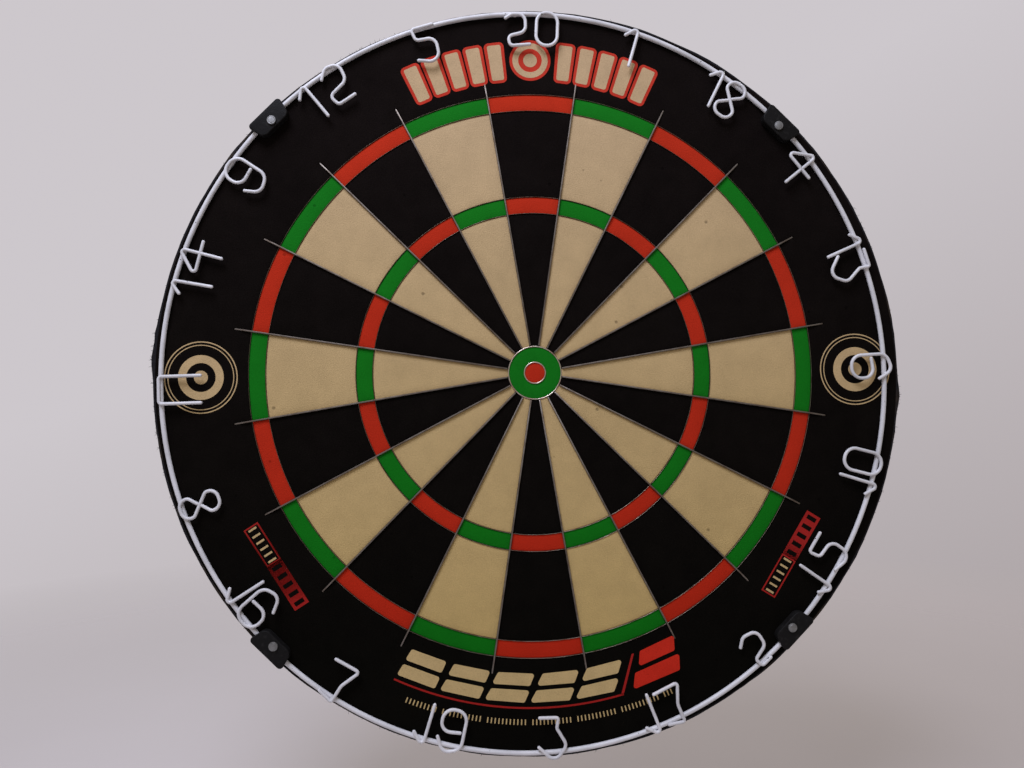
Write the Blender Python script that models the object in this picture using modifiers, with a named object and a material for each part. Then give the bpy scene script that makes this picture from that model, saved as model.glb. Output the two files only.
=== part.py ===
"""A bristle dartboard on its wall bracket, for Blender 4.5. Metres, +Z up.

The target face looks towards -Y and the wall is the plane Y = 0. The origin is where the disc's axis
meets the wall. Every piece is drawn in a board frame whose x is to the right, y is up and z is the
distance from the wall; empties turned by a quarter turn about X carry that frame into the world.
"""

import math
from math import cos, pi, radians, sin

import bmesh
import bpy
from mathutils import Matrix, Vector

# --- driving dimensions ---------------------------------------------------------------------------
GAP = 0.0003  # clearance between pieces that touch
CUT_PAST = 0.002  # how far a cutter runs past the surface it opens
STEPS = 60  # facets round the large turned pieces
HOOP_STEPS = 72
ARC_STEP = radians(34)  # most turn between two points of a bend
SEGMENTS = 20  # scoring segments, so also the radial blades

# Along the board's axis, as distances from the wall.
BRACKET_PLATE = 0.0025  # thickness of the bracket's sheet
BRACKET_FRONT = 0.014  # front of the bracket's slotted plate
WASHER_THICKNESS = 0.002
BOARD_BACK = BRACKET_FRONT + WASHER_THICKNESS + 2 * GAP
BOARD_THICKNESS = 0.038
BACKING_THICKNESS = 0.009
CORE_THICKNESS = 0.0164
FACE = BOARD_BACK + BOARD_THICKNESS
BACKING_FRONT = BOARD_BACK + BACKING_THICKNESS
CORE_BACK = BACKING_FRONT + GAP
CORE_FRONT = CORE_BACK + CORE_THICKNESS
FACE_LAYER_BACK = CORE_FRONT + GAP

# Across the board.
BOARD_RADIUS = 0.2255
BAND_THICKNESS = 0.0008
SISAL_RADIUS = BOARD_RADIUS - BAND_THICKNESS - GAP
BAND_BACK = BOARD_BACK + 0.0025
BAND_FRONT = FACE - 0.008

# The wires of the face, by the radius of each ring wire. They sit a little high on the disc.
SPIDER_CENTRE = (0.0005, 0.0027)
BULLSEYE_RADIUS = 0.00635
OUTER_BULL_RADIUS = 0.0159
TREBLE_RADII = (0.097, 0.107)
DOUBLE_RADII = (0.160, 0.170)
RING_NAMES = (
    "bullseye_ring", "outer_bull_ring", "treble_inner_ring", "treble_outer_ring",
    "double_inner_ring", "double_outer_ring",
)
RING_HALF_WIDTH = 0.00045
RING_CREST = 0.00035
WIRE_DEPTH = 0.003
BLADE_WIDTH = 0.0009
BLADE_CREST = 0.0012
BLADE_OVERRUN = 0.0105  # how far a blade runs past the outer double wire

# The number ring is a bent hoop: slightly taller than wide, and seated a little to the left.
HOOP_CENTRE = (-0.0022, 0.0)
HOOP_HALF_WIDTH = 0.2174
HOOP_HALF_HEIGHT = 0.2218
HOOP_WIRE = 0.0014
DIGIT_WIRE = 0.001
DIGIT_HEIGHT = 0.023
DIGIT_OVERHANG = 0.0013  # digit's end past the hoop's centre line
DIGIT_SHIFT = (0.0008, -0.0008)  # the digits sit a little low and right on the hoop
WELD = 0.0004
HOOP_Z = FACE + GAP + HOOP_WIRE
DIGIT_Z = HOOP_Z + HOOP_WIRE + DIGIT_WIRE - WELD

# Clips of the number ring, on the diagonals.
CLIP_ANGLES = (45, 135, 225, 315)
CLIP_LENGTH = 0.0250
CLIP_OUTSIDE = 0.0076  # pin to the clip's straight outer edge
CLIP_INSIDE = 0.0040
CLIP_HEIGHT = 0.0056
PIN_TO_HOOP = 0.0034
CHANNEL_CLEARANCE = 0.0012  # beside the hoop, which may shift a little in its clips
PIN_RADIUS = 0.001
PIN_HEAD_RADIUS = 0.0027
PIN_DEPTH = 0.0085

# Hanging screw and wall bracket.
SCREW_RADIUS = 0.0025
SCREW_HEAD_RADIUS = 0.0055
SCREW_LENGTH = 0.022  # buried in the board
BRACKET_WIDTH = 0.064
BRACKET_TOP = 0.036
BRACKET_BOTTOM = -0.046
POCKET_WIDTH = 0.032
POCKET_BOTTOM = -0.020
POCKET_WALL = 0.0022
WALL_HOLE_RADIUS = 0.0024

# Levellers on the back.
LEVELLER_RADIUS = 0.150
LEVELLER_ANGLES = (90, 210, 330)
HOUSING_LENGTH = 0.046
HOUSING_WIDTH = 0.020
HOUSING_WALL_SIDE = 0.0067
HOUSING_FRONT = BOARD_BACK - GAP
WHEEL_RADIUS = 0.013
WHEEL_BACK = 0.0090
WHEEL_FRONT = 0.0140
WHEEL_TEETH = 20
FOOT_RADIUS = 0.008
FOOT_THICKNESS = 0.0025
STEM_RADIUS = 0.003
STEM_END = 0.0126
SMALL_SCREW_RADIUS = 0.0014
SMALL_SCREW_SPACING = 0.036
SMALL_SCREW_TIP = BOARD_BACK + 0.0062

# Digits as bent wire. A corner is (x, y, bend radius) in millimetres, y up from the digit's foot.
SIX = [(7.4, 16.8, 0), (2.6, 25.2, 5.0), (-7.6, 21.6, 6.0), (-7.0, -0.2, 6.3), (7.2, -0.2, 6.3),
       (6.6, 13.6, 5.5), (-5.0, 12.2, 0)]
DIGITS = {
    "0": [(-6.7, 0.0, 6.3), (6.7, 0.0, 6.3), (6.7, 23.0, 6.3), (-6.7, 23.0, 6.3)],
    "1": [(-7.0, 18.2, 0), (0.0, 25.3, 1.8), (0.2, 0.4, 0)],
    "2": [(-6.8, 19.6, 0), (-1.4, 24.6, 4.5), (7.2, 22.6, 5.0), (5.4, 11.6, 5.0), (-8.2, 8.6, 3.0),
          (-6.2, 1.6, 2.4), (5.2, 1.8, 0)],
    "short 2": [(-6.9, 17.9, 0), (-2.0, 21.8, 4.2), (7.0, 19.6, 4.8), (5.8, 9.6, 4.4), (-4.2, 6.6, 2.0),
                (-3.4, 1.2, 1.8), (3.6, 1.8, 0)],
    "low 2": [(-8.4, 19.4, 0), (-4.4, 21.8, 3.6), (3.6, 21.4, 4.6), (3.6, 10.6, 4.6), (-7.4, 8.2, 2.8),
              (-6.2, 2.2, 2.2), (5.6, 2.8, 0)],
    "low 0": [(-6.4, 2.6, 6.2), (6.6, 2.6, 6.2), (6.6, 22.8, 6.2), (-6.2, 22.8, 6.0)],
    "3": [(-6.6, 23.0, 0), (4.4, 22.6, 1.2), (3.2, 16.4, 2.5), (8.8, 6.4, 4.5), (1.4, -3.2, 5.0),
          (-7.8, 6.0, 0)],
    "4": [(7.2, 13.0, 0), (-13.6, 12.5, 1.6), (0.0, 25.4, 1.7), (0.4, 0.2, 0)],
    "5": [(7.6, 22.6, 0), (-5.6, 22.8, 1.8), (-4.8, 15.6, 2.6), (7.2, 14.2, 5.0), (5.6, -1.2, 5.5),
          (-6.8, 3.6, 0)],
    "6": SIX,
    "7": [(-7.8, 21.6, 0), (8.0, 22.6, 1.5), (3.2, 10.5, 8.0), (3.4, -0.4, 1.2), (-6.0, 1.6, 0)],
    "8": [(-1.0, 10.4, 0), (-5.8, 6.2, 3.0), (-5.8, 0.0, 4.8), (5.8, 0.0, 4.8), (5.8, 6.2, 3.0),
          (-5.8, 16.8, 3.0), (-5.8, 23.0, 4.8), (5.8, 23.0, 4.8), (5.8, 16.8, 3.0), (1.0, 12.6, 0)],
    "9": [(-x, 23.0 - y, bend) for x, y, bend in SIX],
    "11": [(-8.0, -1.0, 0), (-8.0, 23.0, 1.8), (8.0, 23.0, 1.8), (8.0, -1.0, 0)],
    "hooked 1": [(-7.2, 5.0, 0), (0.0, -2.2, 1.8), (-0.2, 23.0, 0)],
}
FEET_OUT = range(6, 15)  # the numbers of the lower half stand with their feet on the hoop
# Clockwise from 20: each digit, its place along the hoop in millimetres and its lean in degrees.
NUMBERS = [
    [("low 2", -6.8, 0), ("low 0", 10.3, 0)],
    [("1", -2.4, 0)],
    [("1", -13.2, -5), ("8", -1.0, 0)],
    [("4", -5.6, 0)],
    [("1", -15.2, -1), ("3", -3.6, 0)],
    [("6", -5.0, 0)],
    [("0", -11.8, 0), ("hooked 1", 0.3, 0)],
    [("5", -17.4, 0), ("hooked 1", -0.3, 0)],
    [("short 2", -9.2, 0)],
    [("7", -14.7, 0), ("hooked 1", -2.6, -2)],
    [("3", -6.3, 0)],
    [("9", -14.2, 0), ("hooked 1", 0.3, 0)],
    [("7", -7.4, 0)],
    [("6", -11.0, 0), ("hooked 1", 2.0, 4)],
    [("8", -7.1, 0)],
    [("11", -4.3, 0)],
    [("1", -8.4, -5), ("4", 11.0, -5)],
    [("9", -1.7, 0)],
    [("1", -6.6, -1), ("2", 11.0, 0)],
    [("5", 2.0, 0)],
]

COLOURS = {  # base colour, roughness, metallic
    "sisal": ((0.42, 0.31, 0.19), 0.95, 0.0),
    "sisal_core": ((0.36, 0.26, 0.15), 0.95, 0.0),
    "particle_board": ((0.30, 0.20, 0.11), 0.85, 0.0),
    "band_steel": ((0.02, 0.02, 0.02), 0.5, 0.6),
    "wire_steel": ((0.45, 0.45, 0.46), 0.35, 1.0),
    "ring_paint": ((0.62, 0.62, 0.66), 0.4, 0.0),
    "clip_plastic": ((0.015, 0.015, 0.014), 0.45, 0.0),
    "pin_steel": ((0.25, 0.25, 0.26), 0.4, 1.0),
    "bracket_steel": ((0.05, 0.05, 0.055), 0.4, 0.8),
    "screw_steel": ((0.5, 0.5, 0.5), 0.3, 1.0),
    "leveller_plastic": ((0.03, 0.03, 0.03), 0.5, 0.0),
}


# --- scene ----------------------------------------------------------------------------------------
def clear_scene():
    for thing in list(bpy.data.objects):
        bpy.data.objects.remove(thing)


def make_collection(name):
    collection = bpy.data.collections.new(name)
    bpy.context.scene.collection.children.link(collection)
    return collection


def material(name):
    """The Principled material of one of the COLOURS, made once."""
    if name in bpy.data.materials:
        return bpy.data.materials[name]
    colour, roughness, metallic = COLOURS[name]
    made = bpy.data.materials.new(name)
    made.use_nodes = True
    shader = made.node_tree.nodes["Principled BSDF"]
    shader.inputs["Base Color"].default_value = (*colour, 1.0)
    shader.inputs["Roughness"].default_value = roughness
    shader.inputs["Metallic"].default_value = metallic
    return made


def make_axis(name, x=0.0, y=0.0, turn=0.0):
    """An empty in the board frame's plane at (x, y), turned by `turn` about the board's axis."""
    axis = bpy.data.objects.new(name, None)
    axis.empty_display_size = 0.03
    parts.objects.link(axis)
    axis.matrix_world = (
        Matrix.Rotation(pi / 2, 4, "X")
        @ Matrix.Translation((x, y, 0))
        @ Matrix.Rotation(turn, 4, "Z")
    )
    return axis


def place(name, data, finish, parent, location=(0, 0, 0), rotation=(0, 0, 0), collection=None):
    """A sub-part: its data, material, parent and place in the parent's frame."""
    piece = bpy.data.objects.new(name, data)
    (collection or parts).objects.link(piece)
    piece.parent = parent
    piece.location = location
    piece.rotation_euler = rotation
    if not data.materials:
        data.materials.append(material(finish))
    return piece


# --- modelling helpers ----------------------------------------------------------------------------
def smooth(mesh, angle=35):
    mesh.shade_smooth()
    mesh.set_sharp_from_angle(angle=radians(angle))


def turned(
    name, profile, finish, parent, steps=STEPS, closed=False, location=(0, 0, 0), collection=None
):
    """A body turned about its z. The profile of (radius, z) runs down its outer side."""
    mesh = bpy.data.meshes.new(name)
    points = [(radius, 0, z) for radius, z in profile]
    edges = [(i, i + 1) for i in range(len(points) - 1)]
    if closed:
        edges.append((len(points) - 1, 0))
    mesh.from_pydata(points, edges, [])
    piece = place(name, mesh, finish, parent, location, collection=collection)
    screw = piece.modifiers.new("turn", "SCREW")
    screw.axis = "Z"
    screw.steps = steps
    screw.render_steps = steps
    screw.use_merge_vertices = True
    screw.merge_threshold = 0.00001
    screw.use_smooth_shade = True
    return piece


def solid_mesh(name, build):
    """A mesh from a function that fills a bmesh."""
    mesh = bpy.data.meshes.new(name)
    shape = bmesh.new()
    build(shape)
    shape.to_mesh(mesh)
    shape.free()
    return mesh


def add_box(shape, low, high, turn=0.0):
    """A box between two corners, then turned about z."""
    size = Vector(high) - Vector(low)
    centre = (Vector(high) + Vector(low)) / 2
    at = Matrix.Rotation(turn, 4, "Z") @ Matrix.Translation(centre) @ Matrix.Diagonal((*size, 1))
    bmesh.ops.create_cube(shape, size=1.0, matrix=at)


def add_rod(shape, radius, low, high, sides, x=0.0, y=0.0):
    """A rod along z between two heights."""
    bmesh.ops.create_cone(
        shape, cap_ends=True, segments=sides, radius1=radius, radius2=radius, depth=high - low,
        matrix=Matrix.Translation((x, y, (low + high) / 2)),
    )


def flat_shape(name, loops, thickness):
    """A curve of closed outlines, filled and as thick as asked; inner loops are holes."""
    curve = bpy.data.curves.new(name, "CURVE")
    curve.dimensions = "2D"
    curve.fill_mode = "BOTH"
    curve.extrude = thickness / 2
    for loop in loops:
        spline = curve.splines.new("POLY")
        spline.points.add(len(loop) - 1)
        for point, (x, y) in zip(spline.points, loop):
            point.co = (x, y, 0, 1)
        spline.use_cyclic_u = True
    return curve


def curve_to_mesh(name, curve):
    """The closed mesh of a curve with its caps welded."""
    holder = bpy.data.objects.new(name, curve)
    parts.objects.link(holder)
    graph = bpy.context.evaluated_depsgraph_get()
    mesh = bpy.data.meshes.new_from_object(holder.evaluated_get(graph), depsgraph=graph)
    bpy.data.objects.remove(holder)
    shape = bmesh.new()
    shape.from_mesh(mesh)
    bmesh.ops.remove_doubles(shape, verts=shape.verts, dist=0.000001)
    bmesh.ops.recalc_face_normals(shape, faces=shape.faces)
    shape.to_mesh(mesh)
    shape.free()
    mesh.name = name
    return mesh


def cutter(name, mesh, parent, location=(0, 0, 0), rotation=(0, 0, 0)):
    """A tool for a Boolean, kept out of the model."""
    tool = bpy.data.objects.new(name, mesh)
    tools.objects.link(tool)
    tool.parent = parent
    tool.location = location
    tool.rotation_euler = rotation
    return as_cutter(tool)


def as_cutter(tool):
    tool.hide_render = True
    tool.display_type = "WIRE"
    return tool


def combine(piece, tool, operation, self_overlap=False):
    join = piece.modifiers.new(operation.lower(), "BOOLEAN")
    join.operation = operation
    join.object = tool
    join.solver = "EXACT"
    join.use_self = self_overlap
    return join


def circle(radius, count, x=0.0, y=0.0, start=0.0):
    return [
        (x + radius * cos(start + 2 * pi * i / count), y + radius * sin(start + 2 * pi * i / count))
        for i in range(count)
    ]


def rounded_rectangle(left, bottom, right, top, radius, per_corner=4):
    points = []
    corners = ((right, top, 0), (left, top, 90), (left, bottom, 180), (right, bottom, 270))
    for x, y, start in corners:
        centre_x = x - radius if x == right else x + radius
        centre_y = y - radius if y == top else y + radius
        for i in range(per_corner):
            angle = radians(start + 90 * i / (per_corner - 1))
            points.append((centre_x + radius * cos(angle), centre_y + radius * sin(angle)))
    return points


# --- the board's body -----------------------------------------------------------------------------
def ring_radii():
    """Every ring wire, from the bull outwards."""
    return (BULLSEYE_RADIUS, OUTER_BULL_RADIUS, *TREBLE_RADII, *DOUBLE_RADII)


def clip_pin_places():
    """Where each clip's pin enters the face: just inside the hoop on its diagonal."""
    places = []
    for angle in CLIP_ANGLES:
        x, y = hoop_point(radians(angle))
        scale = 1 - PIN_TO_HOOP / math.hypot(x, y)
        places.append((x * scale, y * scale))
    return places


def make_sisal_face(parent, spider):
    """The face layer: grooves for the ring wires, slots for the blades and holes for the pins."""
    profile = [
        (0, FACE), (BOARD_RADIUS - 0.0018, FACE), (BOARD_RADIUS - 0.0002, FACE - 0.0016),
        (BOARD_RADIUS - 0.0002, BAND_FRONT + 0.0008), (SISAL_RADIUS, BAND_FRONT + GAP),
        (SISAL_RADIUS, FACE_LAYER_BACK), (0, FACE_LAYER_BACK),
    ]
    face = turned("sisal_face", profile, "sisal", parent)
    groove = RING_HALF_WIDTH + GAP
    floor = FACE - WIRE_DEPTH - GAP
    for name, radius in zip(RING_NAMES, ring_radii()):
        section = [
            (radius + groove, FACE + CUT_PAST), (radius + groove, floor), (radius - groove, floor),
            (radius - groove, FACE + CUT_PAST),
        ]
        tool = turned(f"{name}_groove", section, "sisal", spider, closed=True, collection=tools)
        combine(face, as_cutter(tool), "DIFFERENCE")

    def slots(shape):
        half = BLADE_WIDTH / 2 + GAP
        inner = blade_start() - GAP
        outer = DOUBLE_RADII[1] + BLADE_OVERRUN + GAP
        for k in range(SEGMENTS):
            add_box(
                shape, (inner, -half, FACE - WIRE_DEPTH - 2 * GAP), (outer, half, FACE + CUT_PAST),
                blade_angle(k),
            )

    def pin_holes(shape):
        for x, y in clip_pin_places():
            add_rod(shape, PIN_RADIUS + GAP, FACE - PIN_DEPTH - GAP, FACE + CUT_PAST, 8, x, y)

    combine(face, cutter("blade_slots", solid_mesh("blade_slots", slots), spider), "DIFFERENCE")
    combine(face, cutter("pin_holes", solid_mesh("pin_holes", pin_holes), parent), "DIFFERENCE")
    return face


def make_rear_core(parent):
    """The denser fibre behind the face, bored for the hanging screw."""
    hole = SCREW_RADIUS + GAP
    hole_end = BOARD_BACK + SCREW_LENGTH + GAP
    profile = [
        (0, CORE_FRONT), (SISAL_RADIUS, CORE_FRONT), (SISAL_RADIUS, CORE_BACK), (hole, CORE_BACK),
        (hole, hole_end - 0.004), (0, hole_end),
    ]
    if hole_end > CORE_FRONT:
        raise ValueError("the hanging screw is longer than the core")
    return turned("sisal_rear_core", profile, "sisal_core", parent)


def make_backing_board(parent):
    """The particle board disc, bored for the hanging screw and the levellers' screws."""
    hole = SCREW_RADIUS + GAP
    edge = 0.0008
    profile = [
        (hole, BACKING_FRONT), (SISAL_RADIUS, BACKING_FRONT), (SISAL_RADIUS, BOARD_BACK + edge),
        (SISAL_RADIUS - edge, BOARD_BACK), (hole, BOARD_BACK),
    ]
    board = turned("backing_board", profile, "particle_board", parent, closed=True)

    def screw_holes(shape):
        for x, y in small_screw_places():
            add_rod(
                shape, SMALL_SCREW_RADIUS + GAP, BOARD_BACK - 0.002, SMALL_SCREW_TIP + GAP, 8, x, y
            )

    tool = cutter("screw_holes", solid_mesh("screw_holes", screw_holes), parent)
    combine(board, tool, "DIFFERENCE")
    return board


def make_rim_band(parent):
    """The steel band round fibre and backing, with the crimped seal on its ends at the foot."""
    inner = BOARD_RADIUS - BAND_THICKNESS
    profile = [
        (BOARD_RADIUS, BAND_FRONT), (BOARD_RADIUS, BAND_BACK), (inner, BAND_BACK), (inner, BAND_FRONT)
    ]
    turned("rim_band", profile, "band_steel", parent, closed=True)
    middle = (BAND_FRONT + BAND_BACK) / 2

    def seal(shape):
        add_box(
            shape, (-0.011, -BOARD_RADIUS - GAP - 0.0008, middle - 0.0115),
            (0.011, -BOARD_RADIUS - GAP, middle + 0.0115),
        )

    place("band_seal", solid_mesh("band_seal", seal), "band_steel", parent)


# --- the wires of the face ------------------------------------------------------------------------
def blade_angle(k):
    """A blade lies on each edge between two segments."""
    return radians(90 - 360 / SEGMENTS * (k + 0.5))


def blade_start():
    return OUTER_BULL_RADIUS + RING_HALF_WIDTH + GAP


def make_radial_blades(parent):
    """Strips on edge, notched where they cross the ring wires, their outer ends bent down."""
    low = -WIRE_DEPTH - GAP
    roof = RING_CREST + GAP
    notch = RING_HALF_WIDTH + GAP
    end = DOUBLE_RADII[1] + BLADE_OVERRUN
    outline = [(blade_start(), BLADE_CREST - 0.0004), (blade_start(), low)]
    for radius in (*TREBLE_RADII, *DOUBLE_RADII):
        outline += [
            (radius - notch, low), (radius - notch, roof), (radius + notch, roof),
            (radius + notch, low),
        ]
    outline += [
        (end, low), (end, -0.0004), (end - 0.0035, 0.0004), (end - 0.0085, BLADE_CREST),
        (blade_start() + 0.001, BLADE_CREST),
    ]
    strip = curve_to_mesh("radial_blade", flat_shape("radial_blade", [outline], BLADE_WIDTH))
    for k in range(SEGMENTS):
        place(
            f"radial_blade_{k + 1:02d}", strip, "wire_steel", parent, (0, 0, FACE),
            (pi / 2, 0, blade_angle(k)),
        )


def make_ring_wires(parent):
    """Each ring wire is a wedge with its edge up, seated in its groove."""
    for name, radius in zip(RING_NAMES, ring_radii()):
        profile = [
            (radius, FACE + RING_CREST), (radius + RING_HALF_WIDTH, FACE - WIRE_DEPTH),
            (radius - RING_HALF_WIDTH, FACE - WIRE_DEPTH),
        ]
        turned(name, profile, "wire_steel", parent, closed=True)


# --- the number ring ------------------------------------------------------------------------------
def hoop_point(angle):
    """The hoop's centre line where a ray from the bull at this angle crosses it."""
    ray = Vector((cos(angle), sin(angle)))
    a, b = HOOP_HALF_WIDTH, HOOP_HALF_HEIGHT
    start = Vector((-HOOP_CENTRE[0], -HOOP_CENTRE[1]))
    square = (ray.x / a) ** 2 + (ray.y / b) ** 2
    cross = start.x * ray.x / a**2 + start.y * ray.y / b**2
    rest = (start.x / a) ** 2 + (start.y / b) ** 2 - 1
    reach = (-cross + math.sqrt(cross**2 - square * rest)) / square
    return (reach * ray.x, reach * ray.y)


def wire(name, points, radius, sides_level, closed=False):
    """A welded tube along the points."""
    curve = bpy.data.curves.new(name, "CURVE")
    curve.dimensions = "3D"
    curve.bevel_depth = radius
    curve.bevel_resolution = sides_level
    curve.use_fill_caps = not closed
    spline = curve.splines.new("POLY")
    spline.points.add(len(points) - 1)
    for knot, point in zip(spline.points, points):
        knot.co = (*point, 1)
    spline.use_cyclic_u = closed
    return curve_to_mesh(name, curve)


def bent_path(corners):
    """Points along a bent wire: straight runs joined by arcs at its corners."""
    path = []
    for i, (x, y, bend) in enumerate(corners):
        corner = Vector((x, y))
        if bend == 0:
            path.append(corner)
            continue
        before = (Vector(corners[i - 1][:2]) - corner).normalized()
        after = (Vector(corners[(i + 1) % len(corners)][:2]) - corner).normalized()
        half = before.angle(after) / 2
        centre = corner + (before + after).normalized() * bend / sin(half)
        start = corner + before * bend / math.tan(half) - centre
        turn = math.copysign(pi - 2 * half, -before.cross(after))
        steps = max(2, math.ceil(abs(turn) / ARC_STEP))
        path += [centre + Matrix.Rotation(turn * step / steps, 2) @ start for step in range(steps + 1)]
    return path


def digit_frame(angle, place_mm, lean, feet_out):
    """A function from the digit's own millimetres to the board frame."""
    angle -= place_mm / 1000 / HOOP_HALF_HEIGHT
    out = Vector((cos(angle), sin(angle)))
    across = Vector((sin(angle), -cos(angle)))
    base = Vector(hoop_point(angle)) + out * DIGIT_OVERHANG + Vector(DIGIT_SHIFT)
    leaning = Matrix.Rotation(-radians(lean), 2)

    def to_board(point):
        x, y = leaning @ Vector((point[0] / 1000, point[1] / 1000 - (0 if feet_out else DIGIT_HEIGHT)))
        side = -1 if feet_out else 1
        spot = base + side * (across * x + out * y)
        return (spot.x, spot.y, DIGIT_Z)

    return to_board


def digit_mesh(digit, to_board):
    """The bent wire of one digit."""
    closed = digit.endswith("0")
    points = [to_board(point) for point in bent_path(DIGITS[digit])]
    return wire(digit, points, DIGIT_WIRE, 0, closed)


def joined(name, meshes):
    """One mesh with every body of the given ones."""
    shape = bmesh.new()
    for mesh in meshes:
        shape.from_mesh(mesh)
    whole = bpy.data.meshes.new(name)
    shape.to_mesh(whole)
    shape.free()
    return whole


def make_number_ring(board):
    """The hoop with its digits welded on its front, turning about the hoop's own centre."""
    axis = make_axis("number_ring_axis", *HOOP_CENTRE)
    axis_offset = Matrix.Translation((-HOOP_CENTRE[0], -HOOP_CENTRE[1], 0))
    hoop = [
        (HOOP_HALF_WIDTH * x, HOOP_HALF_HEIGHT * y, HOOP_Z) for x, y in circle(1, HOOP_STEPS)
    ]
    ring = place("number_ring", wire("hoop", hoop, HOOP_WIRE, 1, closed=True), "ring_paint", axis)
    meshes = []
    for k, digits in enumerate(NUMBERS):
        middle = radians(90 - 360 / SEGMENTS * k)
        for digit, place_mm, lean in digits:
            meshes.append(digit_mesh(digit, digit_frame(middle, place_mm, lean, k in FEET_OUT)))
    digits_mesh = joined("digits", meshes)
    digits_mesh.transform(axis_offset)
    combine(ring, cutter("digits", digits_mesh, axis), "UNION", self_overlap=True)
    keep_parent(axis, board)
    return ring


def keep_parent(child, parent):
    """Parents an empty without moving it."""
    at = child.matrix_world.copy()
    child.parent = parent
    child.matrix_parent_inverse = parent.matrix_world.inverted()
    child.matrix_world = at


# --- clips ----------------------------------------------------------------------------------------
def clip_outline():
    """D shape in the clip's frame: x along the rim, y outwards, the pin at the origin."""
    half = CLIP_LENGTH / 2
    corner = 0.0022
    points = []
    for sign, start in ((1, 0), (-1, 90)):
        centre = (sign * (half - corner), CLIP_OUTSIDE - corner)
        for step in range(3):
            angle = radians(start + 45 * step)
            points.append((centre[0] + corner * cos(angle), centre[1] + corner * sin(angle)))
    inner_corner = 0.0045
    for sign, start in ((-1, 180), (1, 270)):
        centre = (sign * (half - 0.0012 - inner_corner), -CLIP_INSIDE + inner_corner)
        for step in range(4):
            angle = radians(start + 30 * step)
            points.append((centre[0] + inner_corner * cos(angle), centre[1] + inner_corner * sin(angle)))
    return points


def make_clips(parent):
    """Four moulded clips with a channel for the hoop, each with its pin."""
    low = FACE + GAP
    high = low + CLIP_HEIGHT
    channel_half = HOOP_WIRE + CHANNEL_CLEARANCE
    hole = circle(PIN_RADIUS + GAP, 10)
    body = curve_to_mesh("number_clip", flat_shape("number_clip", [clip_outline(), hole], CLIP_HEIGHT))
    pin_top = high + GAP
    pin = [
        (0, pin_top + 0.0012), (PIN_HEAD_RADIUS * 0.6, pin_top + 0.0010),
        (PIN_HEAD_RADIUS, pin_top + 0.0004), (PIN_HEAD_RADIUS, pin_top), (PIN_RADIUS, pin_top),
        (PIN_RADIUS, FACE - PIN_DEPTH + 0.002), (0, FACE - PIN_DEPTH),
    ]
    for k, (angle, (x, y)) in enumerate(zip(CLIP_ANGLES, clip_pin_places())):
        turn = radians(angle - 90)
        clip = place(
            f"number_clip_{k + 1}", body, "clip_plastic", parent, (x, y, (low + high) / 2), (0, 0, turn)
        )

        def channel(shape):
            add_box(
                shape, (-CLIP_LENGTH, PIN_TO_HOOP - channel_half, FACE - 0.001),
                (CLIP_LENGTH, PIN_TO_HOOP + channel_half, HOOP_Z + HOOP_WIRE + 0.0003),
            )

        mesh = solid_mesh("channel", channel)
        tool = cutter(f"hoop_channel_{k + 1}", mesh, parent, (x, y, 0), (0, 0, turn))
        combine(clip, tool, "DIFFERENCE")
        turned(f"clip_pin_{k + 1}", pin, "pin_steel", parent, steps=10, location=(x, y, 0))


# --- hanging --------------------------------------------------------------------------------------
def make_hanging_screw(parent):
    """The screw in the middle of the back; its head hangs in the bracket's pocket."""
    head_front = BRACKET_FRONT - BRACKET_PLATE - GAP
    head_back = head_front - 0.0034
    tip = BOARD_BACK + SCREW_LENGTH
    profile = [
        (0, tip), (SCREW_RADIUS, tip - 0.004), (SCREW_RADIUS, head_front),
        (SCREW_HEAD_RADIUS, head_front), (SCREW_HEAD_RADIUS, head_back + 0.0014),
        (SCREW_HEAD_RADIUS * 0.6, head_back), (0, head_back),
    ]
    turned("hanging_screw", profile, "screw_steel", parent, steps=16)


def make_hanging_washer(parent):
    """The washer between the bracket and the board."""
    low = BRACKET_FRONT + GAP
    high = low + WASHER_THICKNESS
    hole = SCREW_RADIUS + GAP
    profile = [(0.009, high), (0.009, low), (hole, low), (hole, high)]
    turned("hanging_washer", profile, "screw_steel", parent, steps=20, closed=True)


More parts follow.
